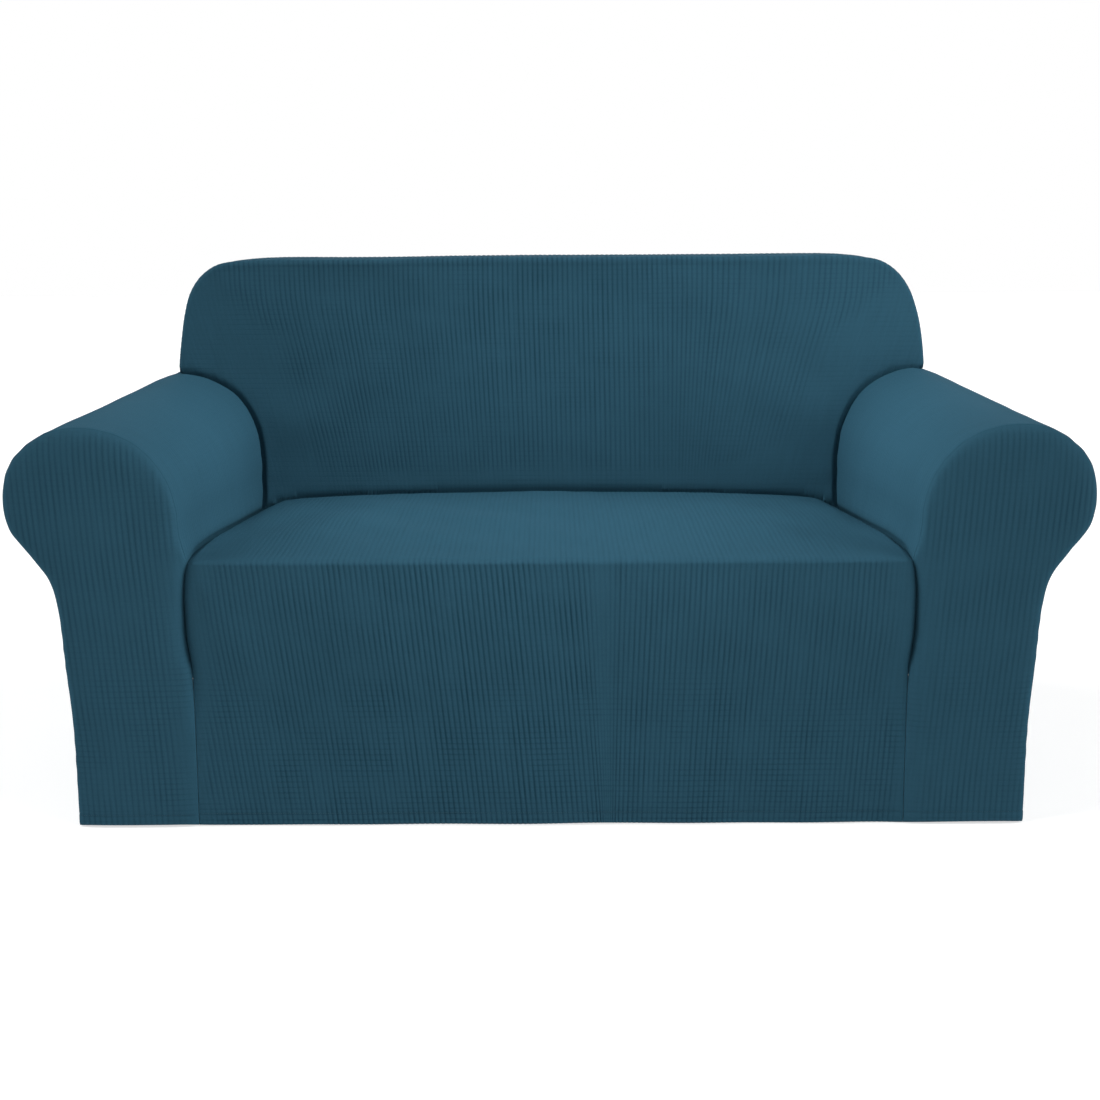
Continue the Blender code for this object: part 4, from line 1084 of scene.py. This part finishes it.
def make_sheets():
    s = seams()
    sheets = []
    skirt_x, skirt_lean = columns(LEAN_SKIRT, 1, 2)
    back_x, back_lean = columns(LEAN_BACK, 1, 2)

    def lean_skirt(w, q):
        down = np.clip((SEAT_HEIGHT - q) / SEAT_HEIGHT, 0.0, 1.0)
        down = down * smoothstep(down / 0.05)
        return spline(skirt_x, skirt_lean, np.clip(w, -0.54, 0.54)) * down

    def lean_back(w, q):
        down = spline(*columns(BACK_SWAY, 1, 2), (0.83 - q) / (0.83 - 0.42))
        wide = np.clip(w, -0.80, 0.80)
        return spline(back_x, back_lean, wide) * down + spline(*columns(SPREAD_BACK, 1, 2), wide)

    def skirt_shown(w, q):
        """Full ribs on the skirt, but not beside its tucks or where its two leans meet."""
        aside = spline(*columns(SKIRT_SEAM[::-1], 1, 2), np.clip(q, 0, 0.41)) - np.abs(w + lean_skirt(w, q))
        calm = 0.014 + 0.024 * smoothstep((q - 0.10) / 0.16)
        share = 0.10 + 0.90 * smoothstep((aside - 0.4 * calm) / calm)
        share = share * (1 - 0.8 * np.exp(-(((w - 0.075) / 0.021) ** 2)))
        share = share * (0.72 + 0.38 * np.exp(-(((w + 0.07) / 0.22) ** 2)))
        on_seat = smoothstep((q - TURN_START + 0.002) / 0.012)
        side_calm = smoothstep((0.50 - np.abs(w)) / 0.10)
        return share * (1 - on_seat) + on_seat * SEAT_RIBS * (0.25 + 0.75 * side_calm)

    def skirt_checks(w, q):
        return 0.12 + 0.72 * smoothstep((0.27 - q) / 0.13)

    def back_shown(w, q):
        """The inside back's ribs, stretched smooth beside the arms and near the seat."""
        at = w + lean_back(w, q)
        z, left, right = columns(BACK_RIBBED, 1, 2, 3)
        edge = np.where(at < 0, spline(z, left, q), spline(z, right, q))
        share = smoothstep((edge - np.abs(at)) / 0.060 + 0.5)
        low = smoothstep((q - 0.440) / 0.030)
        middle = np.exp(-((at / 0.40) ** 2))
        even_ribs = 0.40 + 0.20 * smoothstep((q - 0.50) / 0.20) + 0.32 * middle
        return 0.07 + share * (0.15 + 0.85 * low) * even_ribs

    def back_damp(p, q):
        """The cloth lies even round the backrest's edge."""
        return 1 - 0.75 * smoothstep((nearest_inset(p, q)[2] + 0.030) / 0.035)

    # seat and skirt
    turn_rows = (TURN_START - 0.006, TURN_START + TURN_LENGTH + 0.006, 0.0019)
    sheet = Sheet(
        "cover_seat_skirt", "seat_skirt", seat_skirt_form, 1.0,
        rows_between(*HEM_ROWS, (0.0345, turn_rows[0], ROW), turn_rows, (turn_rows[1], 1.02, ROW)),
        lean_skirt, 11,
    )
    sheet.shown, sheet.checks = skirt_shown, skirt_checks

    def flat_skirt(places):
        return np.stack([places[:, 0], places[:, 2]], -1)

    def flat_seat(places):
        return np.stack([places[:, 0], seat_q(places[:, 1])], -1)

    corner_q = TURN_START + SEAT_EDGE_RADIUS * math.pi / 4
    left, right = s["skirt_left"][0], s["skirt_right"][0]
    lf, rf = flat_skirt(left), flat_skirt(right)
    lf[-1][1] = rf[-1][1] = corner_q
    seat_l, seat_r = s["seat_left"][0], s["seat_right"][0]
    sl, sr = flat_seat(seat_l), flat_seat(seat_r)
    for line in (sl, sr):
        line[0][1] = corner_q
        line[:, 1] = np.maximum(line[:, 1], corner_q + np.arange(len(line)) * 1e-4)
    for line in (lf, rf):
        top_down = corner_q - np.arange(len(line))[::-1] * 1e-4
        line[:, 1] = np.minimum(line[:, 1], top_down)
    hem_p = sheet.hem_columns(left[0][0], right[0][0])
    hem = np.stack([hem_p, np.zeros_like(hem_p), hem_line(hem_p, 0.0)], -1)
    hem[0], hem[-1] = left[0], right[0]
    sheet.edge("hem", flat_skirt(hem), hem)
    sheet.edge("skirt_right", rf, right)
    sheet.edge("seat_right", sr, seat_r)
    back = s["seat_back"][0][::-1]
    sheet.edge("seat_back", flat_seat(back), back)
    sheet.edge("seat_left", sl[::-1], seat_l[::-1])
    sheet.edge("skirt_left", lf[::-1], left[::-1])
    sheets.append(sheet)

    # inside of the backrest
    sheet = Sheet(
        "cover_inside_back", "inside_back", inside_back_form, 1.0,
        rows_between((0.380, 0.800, ROW * 0.95), (0.800, 0.852, 0.0034), (0.852, 1.20, ROW)),
        lean_back, 23,
    )
    sheet.shown, sheet.damp = back_shown, back_damp
    bl, br = s["back_left"][0], s["back_right"][0]
    sheet.edge("seat_back", inside_back_pattern(s["seat_back"][0]), s["seat_back"][0])
    sheet.edge("back_right", inside_back_pattern(br), br)
    top, run = s["top"]
    at = along(INSET, OUTLINE_RUN, run)
    out = along(OUTLINE_OUT, OUTLINE_RUN, run)
    reach = QUARTER + DEPTH - face_depth(at[:, 0], at[:, 1]) - BACK_ROUNDING
    top_flat = at + out * reach[:, None]
    sheet.edge("top", top_flat[::-1], top[::-1])
    sheet.edge("back_left", inside_back_pattern(bl[::-1]), bl[::-1])
    sheets.append(sheet)

    # rear
    sheet = Sheet(
        "cover_outside_back", "outside_back", outside_back_form, -1.0,
        rows_between(*HEM_ROWS, (0.0345, 0.84, ROW * 1.25)), None, 37,
    )
    rl, rr = s["rear_left"][0], s["rear_right"][0]
    flat = [0, 2]
    hem_p = sheet.hem_columns(rl[-1][0], rr[-1][0])
    hem = np.stack([hem_p, np.full_like(hem_p, DEPTH), hem_line(hem_p, DEPTH)], -1)
    hem[0], hem[-1] = rl[-1], rr[-1]
    sheet.edge("hem", hem[:, flat], hem)
    sheet.edge("rear_right", rr[::-1][:, flat], rr[::-1])
    sheet.edge("top", top[::-1][:, flat], top[::-1])
    sheet.edge("rear_left", rl[:, flat], rl)
    sheets.append(sheet)

    for side, sign, rise in SIDES:
        flip = np.array([sign, 1.0, 1.0])

        def form(y, st, rise=rise, flip=flip):
            return arm_form(y, st, rise) * flip

        # arm, with its rows counted from the seat, so the hem is at the far end
        hem_rows = [SECTION_LENGTH - r for r in rows_between(*HEM_ROWS)[::-1]]
        rows = np.concatenate([rows_between((0.0, SECTION_LENGTH - 0.0345, ROW))[:-1], hem_rows])
        sheet = Sheet("cover_arm_" + side, "arm", form, -sign, rows, None, 41 if sign < 0 else 53)

        def arm_shown(w, q):
            outer_side = smoothstep((q - STATION["shoulder_out"]) / 0.10)
            return ARM_RIBS + (ARM_SIDE_RIBS - ARM_RIBS) * outer_side

        def arm_damp(y, st):
            """The roll lies smooth along its top."""
            inside = smoothstep((st - STATION["inner_mid"]) / 0.05)
            return 1 - 0.72 * inside * smoothstep((STATION["roll_widest"] - st) / 0.05)

        sheet.shown, sheet.damp = arm_shown, arm_damp
        sheet.checks = lambda w, q: np.full_like(w, 0.12)
        seat, seat_at = s["seat_" + side]
        meet, meet_at = s["back_" + side]
        rear, rear_at = s["rear_" + side]
        front, front_at = s["front_" + side]
        step = sheet.pitch / STEPS_PER_RIB
        y_hem = np.arange(math.ceil(0.6), math.floor(DEPTH / step - 0.6) + 1) * step
        y_hem = np.concatenate([[DEPTH], y_hem[::-1], [0.0]])
        x_hem = sign * SECTION[-1][0]
        z_hem = hem_line(np.full_like(y_hem, x_hem), y_hem)
        hem = np.stack([np.full_like(y_hem, x_hem), y_hem, z_hem], -1)
        hem[0], hem[-1] = rear[-1], front[-1]
        hem_at = np.stack([y_hem, SECTION_LENGTH - z_hem], -1)
        hem_at[0], hem_at[-1] = rear_at[-1], front_at[-1]
        sheet.edge("seat_" + side, seat_at, seat)
        sheet.edge("back_" + side, meet_at, meet)
        sheet.edge("rear_" + side, rear_at, rear)
        sheet.edge("hem", hem_at, hem)
        sheet.edge("front_" + side, front_at[::-1], front[::-1])
        sheets.append(sheet)

        # arm front
        def front_form(p, q, sign=sign, flip=flip):
            return arm_front_form(p * sign, q) * flip

        def lean_front(w, q, sign=sign):
            return -sign * LEAN_ARM_FRONT * smoothstep((0.60 - q) / 0.60 * 0.92 + 0.04)

        sheet = Sheet(
            "cover_arm_front_" + side, "arm_front", front_form, 1.0,
            rows_between(*HEM_ROWS, (0.0345, 0.62, ROW)), lean_front, 67 if sign < 0 else 79,
        )
        sheet.seam_fade = 0.0150

        def front_shown(w, q, sign=sign, lean_front=lean_front):
            """The ribs are stretched smooth beside the skirt."""
            zz, xx = columns(SKIRT_SEAM[::-1], 1, 2)
            aside = np.abs(w + lean_front(w, q)) - spline(zz, xx, np.clip(q, 0, zz[-1]))
            aside = aside + 0.5 * np.maximum(q - zz[-1], 0)
            return 0.66 * (0.12 + 0.88 * smoothstep((aside - 0.008) / 0.036))

        sheet.shown = front_shown
        sheet.checks = lambda w, q: 0.15 + 0.35 * smoothstep((0.33 - q) / 0.15)
        skirt = s["skirt_" + side][0]
        hem_p = sheet.hem_columns(front[-1][0], skirt[0][0])
        hem = np.stack([hem_p, np.zeros_like(hem_p), hem_line(hem_p, 0.0)], -1)
        hem[0], hem[-1] = front[-1], skirt[0]
        sheet.edge("front_" + side, front[:, flat], front)
        sheet.edge("hem", hem[:, flat], hem)
        sheet.edge("skirt_" + side, skirt[:, flat], skirt)
        sheets.append(sheet)
    return sheets


# ---------------------------------------------------------------- the finish
def knit_material(name):
    """Ribbed check knit: colour by rib and course, with painted shade in the rib furrows; loops and fuzz as
    bump, soft sheen.
    """
    mat = bpy.data.materials.new(name)
    mat.use_nodes = True
    tree = mat.node_tree
    nodes, links = tree.nodes, tree.links
    bsdf = nodes["Principled BSDF"]

    def node(kind, **values):
        made = nodes.new(kind)
        for key, value in values.items():
            setattr(made, key, value)
        return made

    def math_node(operation, a, b=None, clamp=False):
        made = node("ShaderNodeMath", operation=operation, use_clamp=clamp)
        for socket, value in zip(made.inputs, (a, b)):
            if value is None:
                continue
            if isinstance(value, (int, float)):
                socket.default_value = value
            else:
                links.new(value, socket)
        return made.outputs[0]

    def mix(factor, a, b):
        made = node("ShaderNodeMix", data_type="RGBA")
        for socket, value in zip((made.inputs[0], made.inputs[6], made.inputs[7]), (factor, a, b)):
            if isinstance(value, (int, float, tuple)):
                socket.default_value = value
            else:
                links.new(value, socket)
        return made.outputs[2]

    uv = node("ShaderNodeUVMap", uv_map="knit").outputs["UV"]
    split = node("ShaderNodeSeparateXYZ")
    links.new(uv, split.inputs[0])
    u, v = split.outputs[0], split.outputs[1]
    place = node("ShaderNodeTexCoord").outputs["Object"]

    def noise(scale, detail=2.0, rough=0.5, where=None):
        made = node("ShaderNodeTexNoise")
        made.inputs["Scale"].default_value = scale
        made.inputs["Detail"].default_value = detail
        made.inputs["Roughness"].default_value = rough
        links.new(where or place, made.inputs["Vector"])
        return made.outputs["Fac"]

    def wave01(of, per):
        """0 to 1, with its crests where of times per is a whole number."""
        turned = math_node("MULTIPLY", of, 2 * math.pi * per)
        return math_node("ADD", math_node("MULTIPLY", math_node("COSINE", turned), 0.5), 0.5)

    # ribs: u is whole in the furrow; courses: v is whole on the dark line of the check
    furrow = math_node("POWER", wave01(u, 1.0), 2.2)
    course = math_node("POWER", wave01(v, 1.0), 5.0)
    # the check comes and goes
    seen = math_node("MULTIPLY", math_node("SUBTRACT", noise(15.0, 2.0), 0.42), 3.6, clamp=True)
    course = math_node("MULTIPLY", course, math_node("ADD", math_node("MULTIPLY", seen, 0.75), 0.25))
    # what stretched cloth still shows of them, by place
    shares = node("ShaderNodeSeparateXYZ")
    links.new(node("ShaderNodeUVMap", uv_map="shares").outputs["UV"], shares.inputs[0])
    furrow = math_node("MULTIPLY", furrow, math_node("MULTIPLY", shares.outputs[0], 2.0))
    course = math_node("MULTIPLY", course, shares.outputs[1])
    streak_at = node("ShaderNodeMapping")
    streak_at.inputs["Scale"].default_value = (1.0, 0.06, 1.0)
    links.new(uv, streak_at.inputs["Vector"])
    streak = noise(1.7, 3.0, 0.6, streak_at.outputs[0])
    blotch = noise(3.1, 3.0, 0.55)
    heather = noise(420.0, 2.0, 0.7)

    base = mix(blotch, FRONT_DARK, FRONT_LIGHT)
    # painted shade: the colour darkens into each rib's furrow, where shadow would fall
    furrow_painted_shade = math_node("MULTIPLY", furrow, FURROW_PAINTED_SHADE_SHARE, clamp=True)
    base = mix(furrow_painted_shade, base, FURROW_PAINTED_SHADE_COLOUR)
    base = mix(math_node("MULTIPLY", course, COURSE_SHADE), base, FURROW_PAINTED_SHADE_COLOUR)
    lift = math_node("MULTIPLY", math_node("SUBTRACT", streak, 0.5), STREAK * 2, clamp=False)
    lift = math_node("ADD", lift, math_node("MULTIPLY", math_node("SUBTRACT", heather, 0.5), HEATHER * 2))
    bright = node("ShaderNodeHueSaturation")
    links.new(base, bright.inputs["Color"])
    links.new(math_node("ADD", lift, 1.0), bright.inputs["Value"])
    links.new(bright.outputs[0], bsdf.inputs["Base Color"])

    rough = math_node("ADD", math_node("MULTIPLY", furrow, 0.06), 0.80)
    rough = math_node("ADD", rough, math_node("MULTIPLY", heather, 0.08), clamp=True)
    links.new(rough, bsdf.inputs["Roughness"])
    bsdf.inputs["Metallic"].default_value = 0.0
    bsdf.inputs["Specular IOR Level"].default_value = 0.02
    bsdf.inputs["Sheen Weight"].default_value = SHEEN
    bsdf.inputs["Sheen Roughness"].default_value = 0.45
    bsdf.inputs["Sheen Tint"].default_value = (0.25, 0.70, 1.0, 1.0)

    # loops of the knit: about six wales to a rib, leaning one way and the other
    wale = wave01(u, 6.0)
    lean = math_node("ABSOLUTE", math_node("SUBTRACT", math_node("FRACT", math_node("MULTIPLY", u, 3.0)), 0.5))
    loops_v = math_node("ADD", math_node("MULTIPLY", v, 6.0), math_node("MULTIPLY", lean, 1.4))
    loop = wave01(loops_v, 1.0)
    fine = math_node("MULTIPLY", math_node("ADD", wale, loop), 0.5)
    height = math_node("ADD", math_node("MULTIPLY", fine, 0.00016), math_node("MULTIPLY", heather, 0.00014))
    height = math_node("SUBTRACT", height, math_node("MULTIPLY", course, 0.00055))
    height = math_node("SUBTRACT", height, math_node("MULTIPLY", furrow, 0.00020))
    bump = node("ShaderNodeBump")
    bump.inputs["Strength"].default_value = 0.85
    bump.inputs["Distance"].default_value = 1.0
    links.new(height, bump.inputs["Height"])
    links.new(bump.outputs[0], bsdf.inputs["Normal"])
    return mat


FRONT_DARK = (0.0184, 0.0600, 0.0900, 1.0)
FRONT_LIGHT = (0.0200, 0.0650, 0.0975, 1.0)
# painted shade: the colour of the shadow in the rib furrows, and how far it darkens them
FURROW_PAINTED_SHADE_COLOUR = (0.0060, 0.0240, 0.0400, 1.0)
FURROW_PAINTED_SHADE_SHARE = 0.46
COURSE_SHADE = 0.44
STREAK = 0.10
HEATHER = 0.10
SHEEN = 0.015


def thread_material():
    mat = bpy.data.materials.new("thread")
    mat.use_nodes = True
    tree = mat.node_tree
    bsdf = tree.nodes["Principled BSDF"]
    noise = tree.nodes.new("ShaderNodeTexNoise")
    noise.inputs["Scale"].default_value = 900.0
    place = tree.nodes.new("ShaderNodeTexCoord")
    tree.links.new(place.outputs["Object"], noise.inputs["Vector"])
    ramp = tree.nodes.new("ShaderNodeMix")
    ramp.data_type = "RGBA"
    ramp.inputs[6].default_value = (0.0130, 0.0440, 0.0670, 1.0)
    ramp.inputs[7].default_value = (0.0210, 0.0680, 0.1010, 1.0)
    tree.links.new(noise.outputs["Fac"], ramp.inputs[0])
    tree.links.new(ramp.outputs[2], bsdf.inputs["Base Color"])
    bsdf.inputs["Roughness"].default_value = 0.60
    bsdf.inputs["Specular IOR Level"].default_value = 0.05
    bsdf.inputs["Sheen Weight"].default_value = 0.03
    bump = tree.nodes.new("ShaderNodeBump")
    bump.inputs["Strength"].default_value = 0.4
    bump.inputs["Distance"].default_value = 0.0003
    tree.links.new(noise.outputs["Fac"], bump.inputs["Height"])
    tree.links.new(bump.outputs[0], bsdf.inputs["Normal"])
    return mat


def stitches(sheet, name):
    """The row of stitches that holds a panel's hem: short spindles of thread in its dent."""
    hem = [line for seam, line in sheet.runs if seam == "hem"][0]
    arm = "cover_arm_l" in sheet.name or "cover_arm_r" in sheet.name
    if arm:
        at = np.array([[p[0], SECTION_LENGTH - HEM_HEIGHT] for p in hem[::-1]])
    else:
        at = np.array([[p[0], HEM_HEIGHT] for p in hem])
    line = np.stack([at[:, 0], at[:, 1]], -1)
    run = run_of(line)
    starts = np.arange(0.006, run[-1] - 0.006, STITCH_PITCH)
    rng = np.random.default_rng(sheet.seed)
    verts, faces = [], []
    a = along(line, run, starts)
    b = along(line, run, starts + STITCH_LENGTH)
    a[:, 1] += rng.normal(0, 0.00018, len(a))
    b[:, 1] += rng.normal(0, 0.00018, len(b))
    mid = (a + b) / 2

    def lifted(points, by):
        n = outward(sheet.form, points[:, 0], points[:, 1], sheet.guide)
        h = sheet.height(points[:, 0], points[:, 1])
        # thread bridges the furrows between ribs
        h = np.maximum(h, h.mean() - 0.0002) + by
        return sheet.form(points[:, 0], points[:, 1]) + h[:, None] * n, n

    pa, _ = lifted(a, -0.0003)
    pb, _ = lifted(b, -0.0003)
    pm, nm = lifted(mid, 0.00030)
    for s0, e0, m0, n0 in zip(pa, pb, pm, nm):
        axis = (e0 - s0) / np.linalg.norm(e0 - s0)
        side = np.cross(n0, axis)
        side /= np.linalg.norm(side)
        first = len(verts)
        verts.append(s0)
        for t in (-0.22, 0.22):
            centre = m0 + axis * t * STITCH_LENGTH
            for angle in (0.25, 0.75, 1.25, 1.75):
                c, d = math.cos(math.pi * angle), math.sin(math.pi * angle)
                verts.append(centre + STITCH_RADIUS * (c * side + 0.8 * d * n0))
        verts.append(e0)
        for k in range(4):
            k2 = (k + 1) % 4
            faces += [(first, first + 1 + k2, first + 1 + k)]
            faces += [(first + 1 + k, first + 1 + k2, first + 5 + k2, first + 5 + k)]
            faces += [(first + 9, first + 5 + k, first + 5 + k2)]
    mesh = bpy.data.meshes.new(name)
    mesh.from_pydata((np.array(verts) + np.array(SHIFT)).tolist(), [], faces)
    mesh.validate()
    mesh.update()
    bm = bmesh.new()
    bm.from_mesh(mesh)
    bmesh.ops.recalc_face_normals(bm, faces=bm.faces)
    bm.to_mesh(mesh)
    bm.free()
    mesh.shade_smooth()
    return mesh


# ---------------------------------------------------------------- making
FLAT = {
    # piece: width and length of the cut, its area
    "cover_seat_skirt": (1.01, 0.90, 0.90),
    "cover_inside_back": (1.70, 0.57, 0.72),
    "cover_outside_back": (1.48, 0.77, 1.04),
    "cover_arm_left": (0.79, 0.91, 0.67),
    "cover_arm_right": (0.79, 0.91, 0.67),
    "cover_arm_front_left": (0.25, 0.57, 0.108),
    "cover_arm_front_right": (0.25, 0.57, 0.108),
}
NODE_OF = {name: name.replace("cover_", "") for name in FLAT}


def prepare(sheets):
    """Shared directions at the seams' points, and how deep each point of a seam sinks."""
    normals_at, sunk_at = {}, {}
    for sheet in sheets:
        sheet.from_rear = {}
        sheet.hem_q = 0.0
        if sheet.name in ("cover_arm_left", "cover_arm_right"):
            sheet.hem_q = SECTION_LENGTH
        for seam, line in sheet.runs:
            if kind_of(seam) in ("back", "seat"):
                # the front end is where the seam starts, or else it runs from the rear
                start = sheet.form(line[:1, 0], line[:1, 1])[0]
                sheet.from_rear[seam] = start[1] > (0.7 if kind_of(seam) == "back" else 0.3)
        sheet.close()
        for place, n in zip(sheet.place, sheet.edge_out):
            normals_at.setdefault(spot(place), []).append(n)
    for sheet in sheets:
        at = 0
        for seam, line in sheet.runs:
            n = len(line) - 1
            if seam != "hem":
                run = run_of(line)
                depth = DRAWN[kind_of(seam)][0] * sheet.drawn_share(seam, line, run)
                for k in range(n):
                    key = spot(sheet.place[at + k])
                    sunk_at.setdefault(key, []).append(depth[k])
            at += n
        # the last point of each run opens the next one, and takes the deeper of the two
    for sheet in sheets:
        sheet.sunk = np.array([max(sunk_at.get(spot(p), [0.0])) for p in sheet.place])
    return normals_at


def main():
    sheets = make_sheets()
    normals_at = prepare(sheets)
    thread = thread_material()
    for sheet in sheets:
        mesh = build_sheet(sheet, normals_at)
        obj = bpy.data.objects.new(sheet.name, mesh)
        bpy.context.scene.collection.objects.link(obj)
        mesh.materials.append(knit_material(sheet.name + "_knit"))
        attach(obj, "root")
        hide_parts(NODE_OF[sheet.name])
        if "hem" in sheet.key:
            name = sheet.name.replace("cover_", "hem_stitches_")
            row = bpy.data.objects.new(name, stitches(sheet, name))
            bpy.context.scene.collection.objects.link(row)
            row.data.materials.append(thread)
            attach(row, "root")
        print("SHEET", sheet.name, len(mesh.polygons), "area", round(sum(p.area for p in mesh.polygons) / 2, 4))


# ---------------------------------------------------------------- floor, light and camera
FLOOR, FLOOR_GLOW = 0.45, 0.64
AMBIENT = 0.0
SUNS = (
    # name, direction to the light, level, angle
    ("left_light", (-0.835, 0.06, 0.54), 1.08, 56.0),
    ("right_light", (0.86, -0.14, 0.48), 1.08, 56.0),
    ("high_light", (0.0, -0.60, 0.80), 0.17, 50.0),
    ("rear_light", (0.10, 0.97, 0.22), 0.26, 50.0),
)
SPOTS = (
    # name, place, aim, angle, power, radius
    ("right_back_light", (1.0, -1.4, 1.6), (0.60, 0.33, 0.75), 22.0, 90.0, 0.3),
    ("front_light", (0.2, -2.2, 1.3), (0.10, 0.30, 0.62), 32.0, 26.0, 0.4),
    ("low_back_light", (0.0, -2.4, 1.15), (0.0, 0.22, 0.50), 20.0, 47.0, 0.3),
    ("low_front_light", (0.0, -2.6, 1.0), (0.0, -0.43, 0.08), 18.0, 30.0, 0.2),
    ("right_arm_light", (-0.9, -0.7, 2.2), (0.47, -0.10, 0.45), 26.0, 225.0, 0.4),
    ("left_arm_light", (0.9, -0.7, 2.2), (-0.46, -0.12, 0.45), 26.0, 195.0, 0.4),
)


def studio():
    # it glows a little, as a lit studio floor does, but for the patch below the cover
    size, half_width, front, rear = 14.0, 0.7200, -0.4140, 0.4260
    outer = [(-size, -size), (size, -size), (size, size), (-size, size)]
    inner = [(-half_width, front), (half_width, front), (half_width, rear), (-half_width, rear)]
    floor_mesh = bpy.data.meshes.new("floor")
    floor_mesh.from_pydata(
        [(x, y, -0.0012) for x, y in outer + inner],
        [], [(k, (k + 1) % 4, 4 + (k + 1) % 4, 4 + k) for k in range(4)] + [(4, 5, 6, 7)],
    )
    floor = bpy.data.objects.new("floor", floor_mesh)
    bpy.context.scene.collection.objects.link(floor)
    for name, glow in (("floor_pale", FLOOR_GLOW), ("floor_below", 0.0)):
        pale = bpy.data.materials.new(name)
        pale.use_nodes = True
        bsdf = pale.node_tree.nodes["Principled BSDF"]
        bsdf.inputs["Base Color"].default_value = (FLOOR, FLOOR, FLOOR, 1.0)
        bsdf.inputs["Emission Color"].default_value = (1.0, 1.0, 1.0, 1.0)
        bsdf.inputs["Emission Strength"].default_value = glow
        bsdf.inputs["Roughness"].default_value = 0.75
        bsdf.inputs["Specular IOR Level"].default_value = 0.1
        floor_mesh.materials.append(pale)
    floor_mesh.polygons[4].material_index = 1

    # a white surround, which lights the cloth less than it shows
    world = bpy.data.worlds.new("studio")
    bpy.context.scene.world = world
    world.use_nodes = True
    tree = world.node_tree
    back = tree.nodes["Background"]
    back.inputs[0].default_value = (1.0, 1.0, 1.0, 1.0)
    back.inputs[1].default_value = AMBIENT
    white = tree.nodes.new("ShaderNodeBackground")
    white.inputs[0].default_value = (1.0, 1.0, 1.0, 1.0)
    white.inputs[1].default_value = 1.0
    rays = tree.nodes.new("ShaderNodeLightPath")
    pick = tree.nodes.new("ShaderNodeMixShader")
    tree.links.new(rays.outputs["Is Camera Ray"], pick.inputs[0])
    tree.links.new(back.outputs[0], pick.inputs[1])
    tree.links.new(white.outputs[0], pick.inputs[2])
    tree.links.new(pick.outputs[0], tree.nodes["World Output"].inputs["Surface"])

    def soft_sun(name, towards, level, angle):
        """A broad soft light from far away. Its level is that of a white cloth facing it."""
        lamp = bpy.data.lights.new(name, "SUN")
        lamp.energy = math.pi * level
        lamp.angle = math.radians(angle)
        obj = bpy.data.objects.new(name, lamp)
        bpy.context.scene.collection.objects.link(obj)
        obj.rotation_euler = Vector(towards).to_track_quat("Z", "Y").to_euler()
        return obj

    for name, towards, level, angle in SUNS:
        soft_sun(name, towards, level, angle)

    for name, place, aim, angle, power, radius in SPOTS:
        spot = bpy.data.lights.new(name, "SPOT")
        spot.energy, spot.spot_size, spot.spot_blend = power, math.radians(angle), 1.0
        spot.shadow_soft_size = radius
        lamp = bpy.data.objects.new(name, spot)
        bpy.context.scene.collection.objects.link(lamp)
        lamp.location = place
        lamp.rotation_euler = (Vector(aim) - Vector(place)).to_track_quat("-Z", "Y").to_euler()

    camera = bpy.data.objects.new("camera", bpy.data.cameras.new("camera"))
    bpy.context.scene.collection.objects.link(camera)
    camera.data.lens = 50.0
    camera.data.sensor_width = 36.0
    pitch, roll = 0.2208, math.radians(-0.25)
    turn = Matrix.Rotation(math.pi / 2 - pitch, 4, "X") @ Matrix.Rotation(roll, 4, "Z")
    camera.matrix_world = Matrix.Translation((0.0, -2.6141, 0.9223)) @ turn
    bpy.context.scene.camera = camera
    bpy.context.scene.view_settings.view_transform = "Standard"
    bpy.context.scene.view_settings.look = "None"


main()
studio()
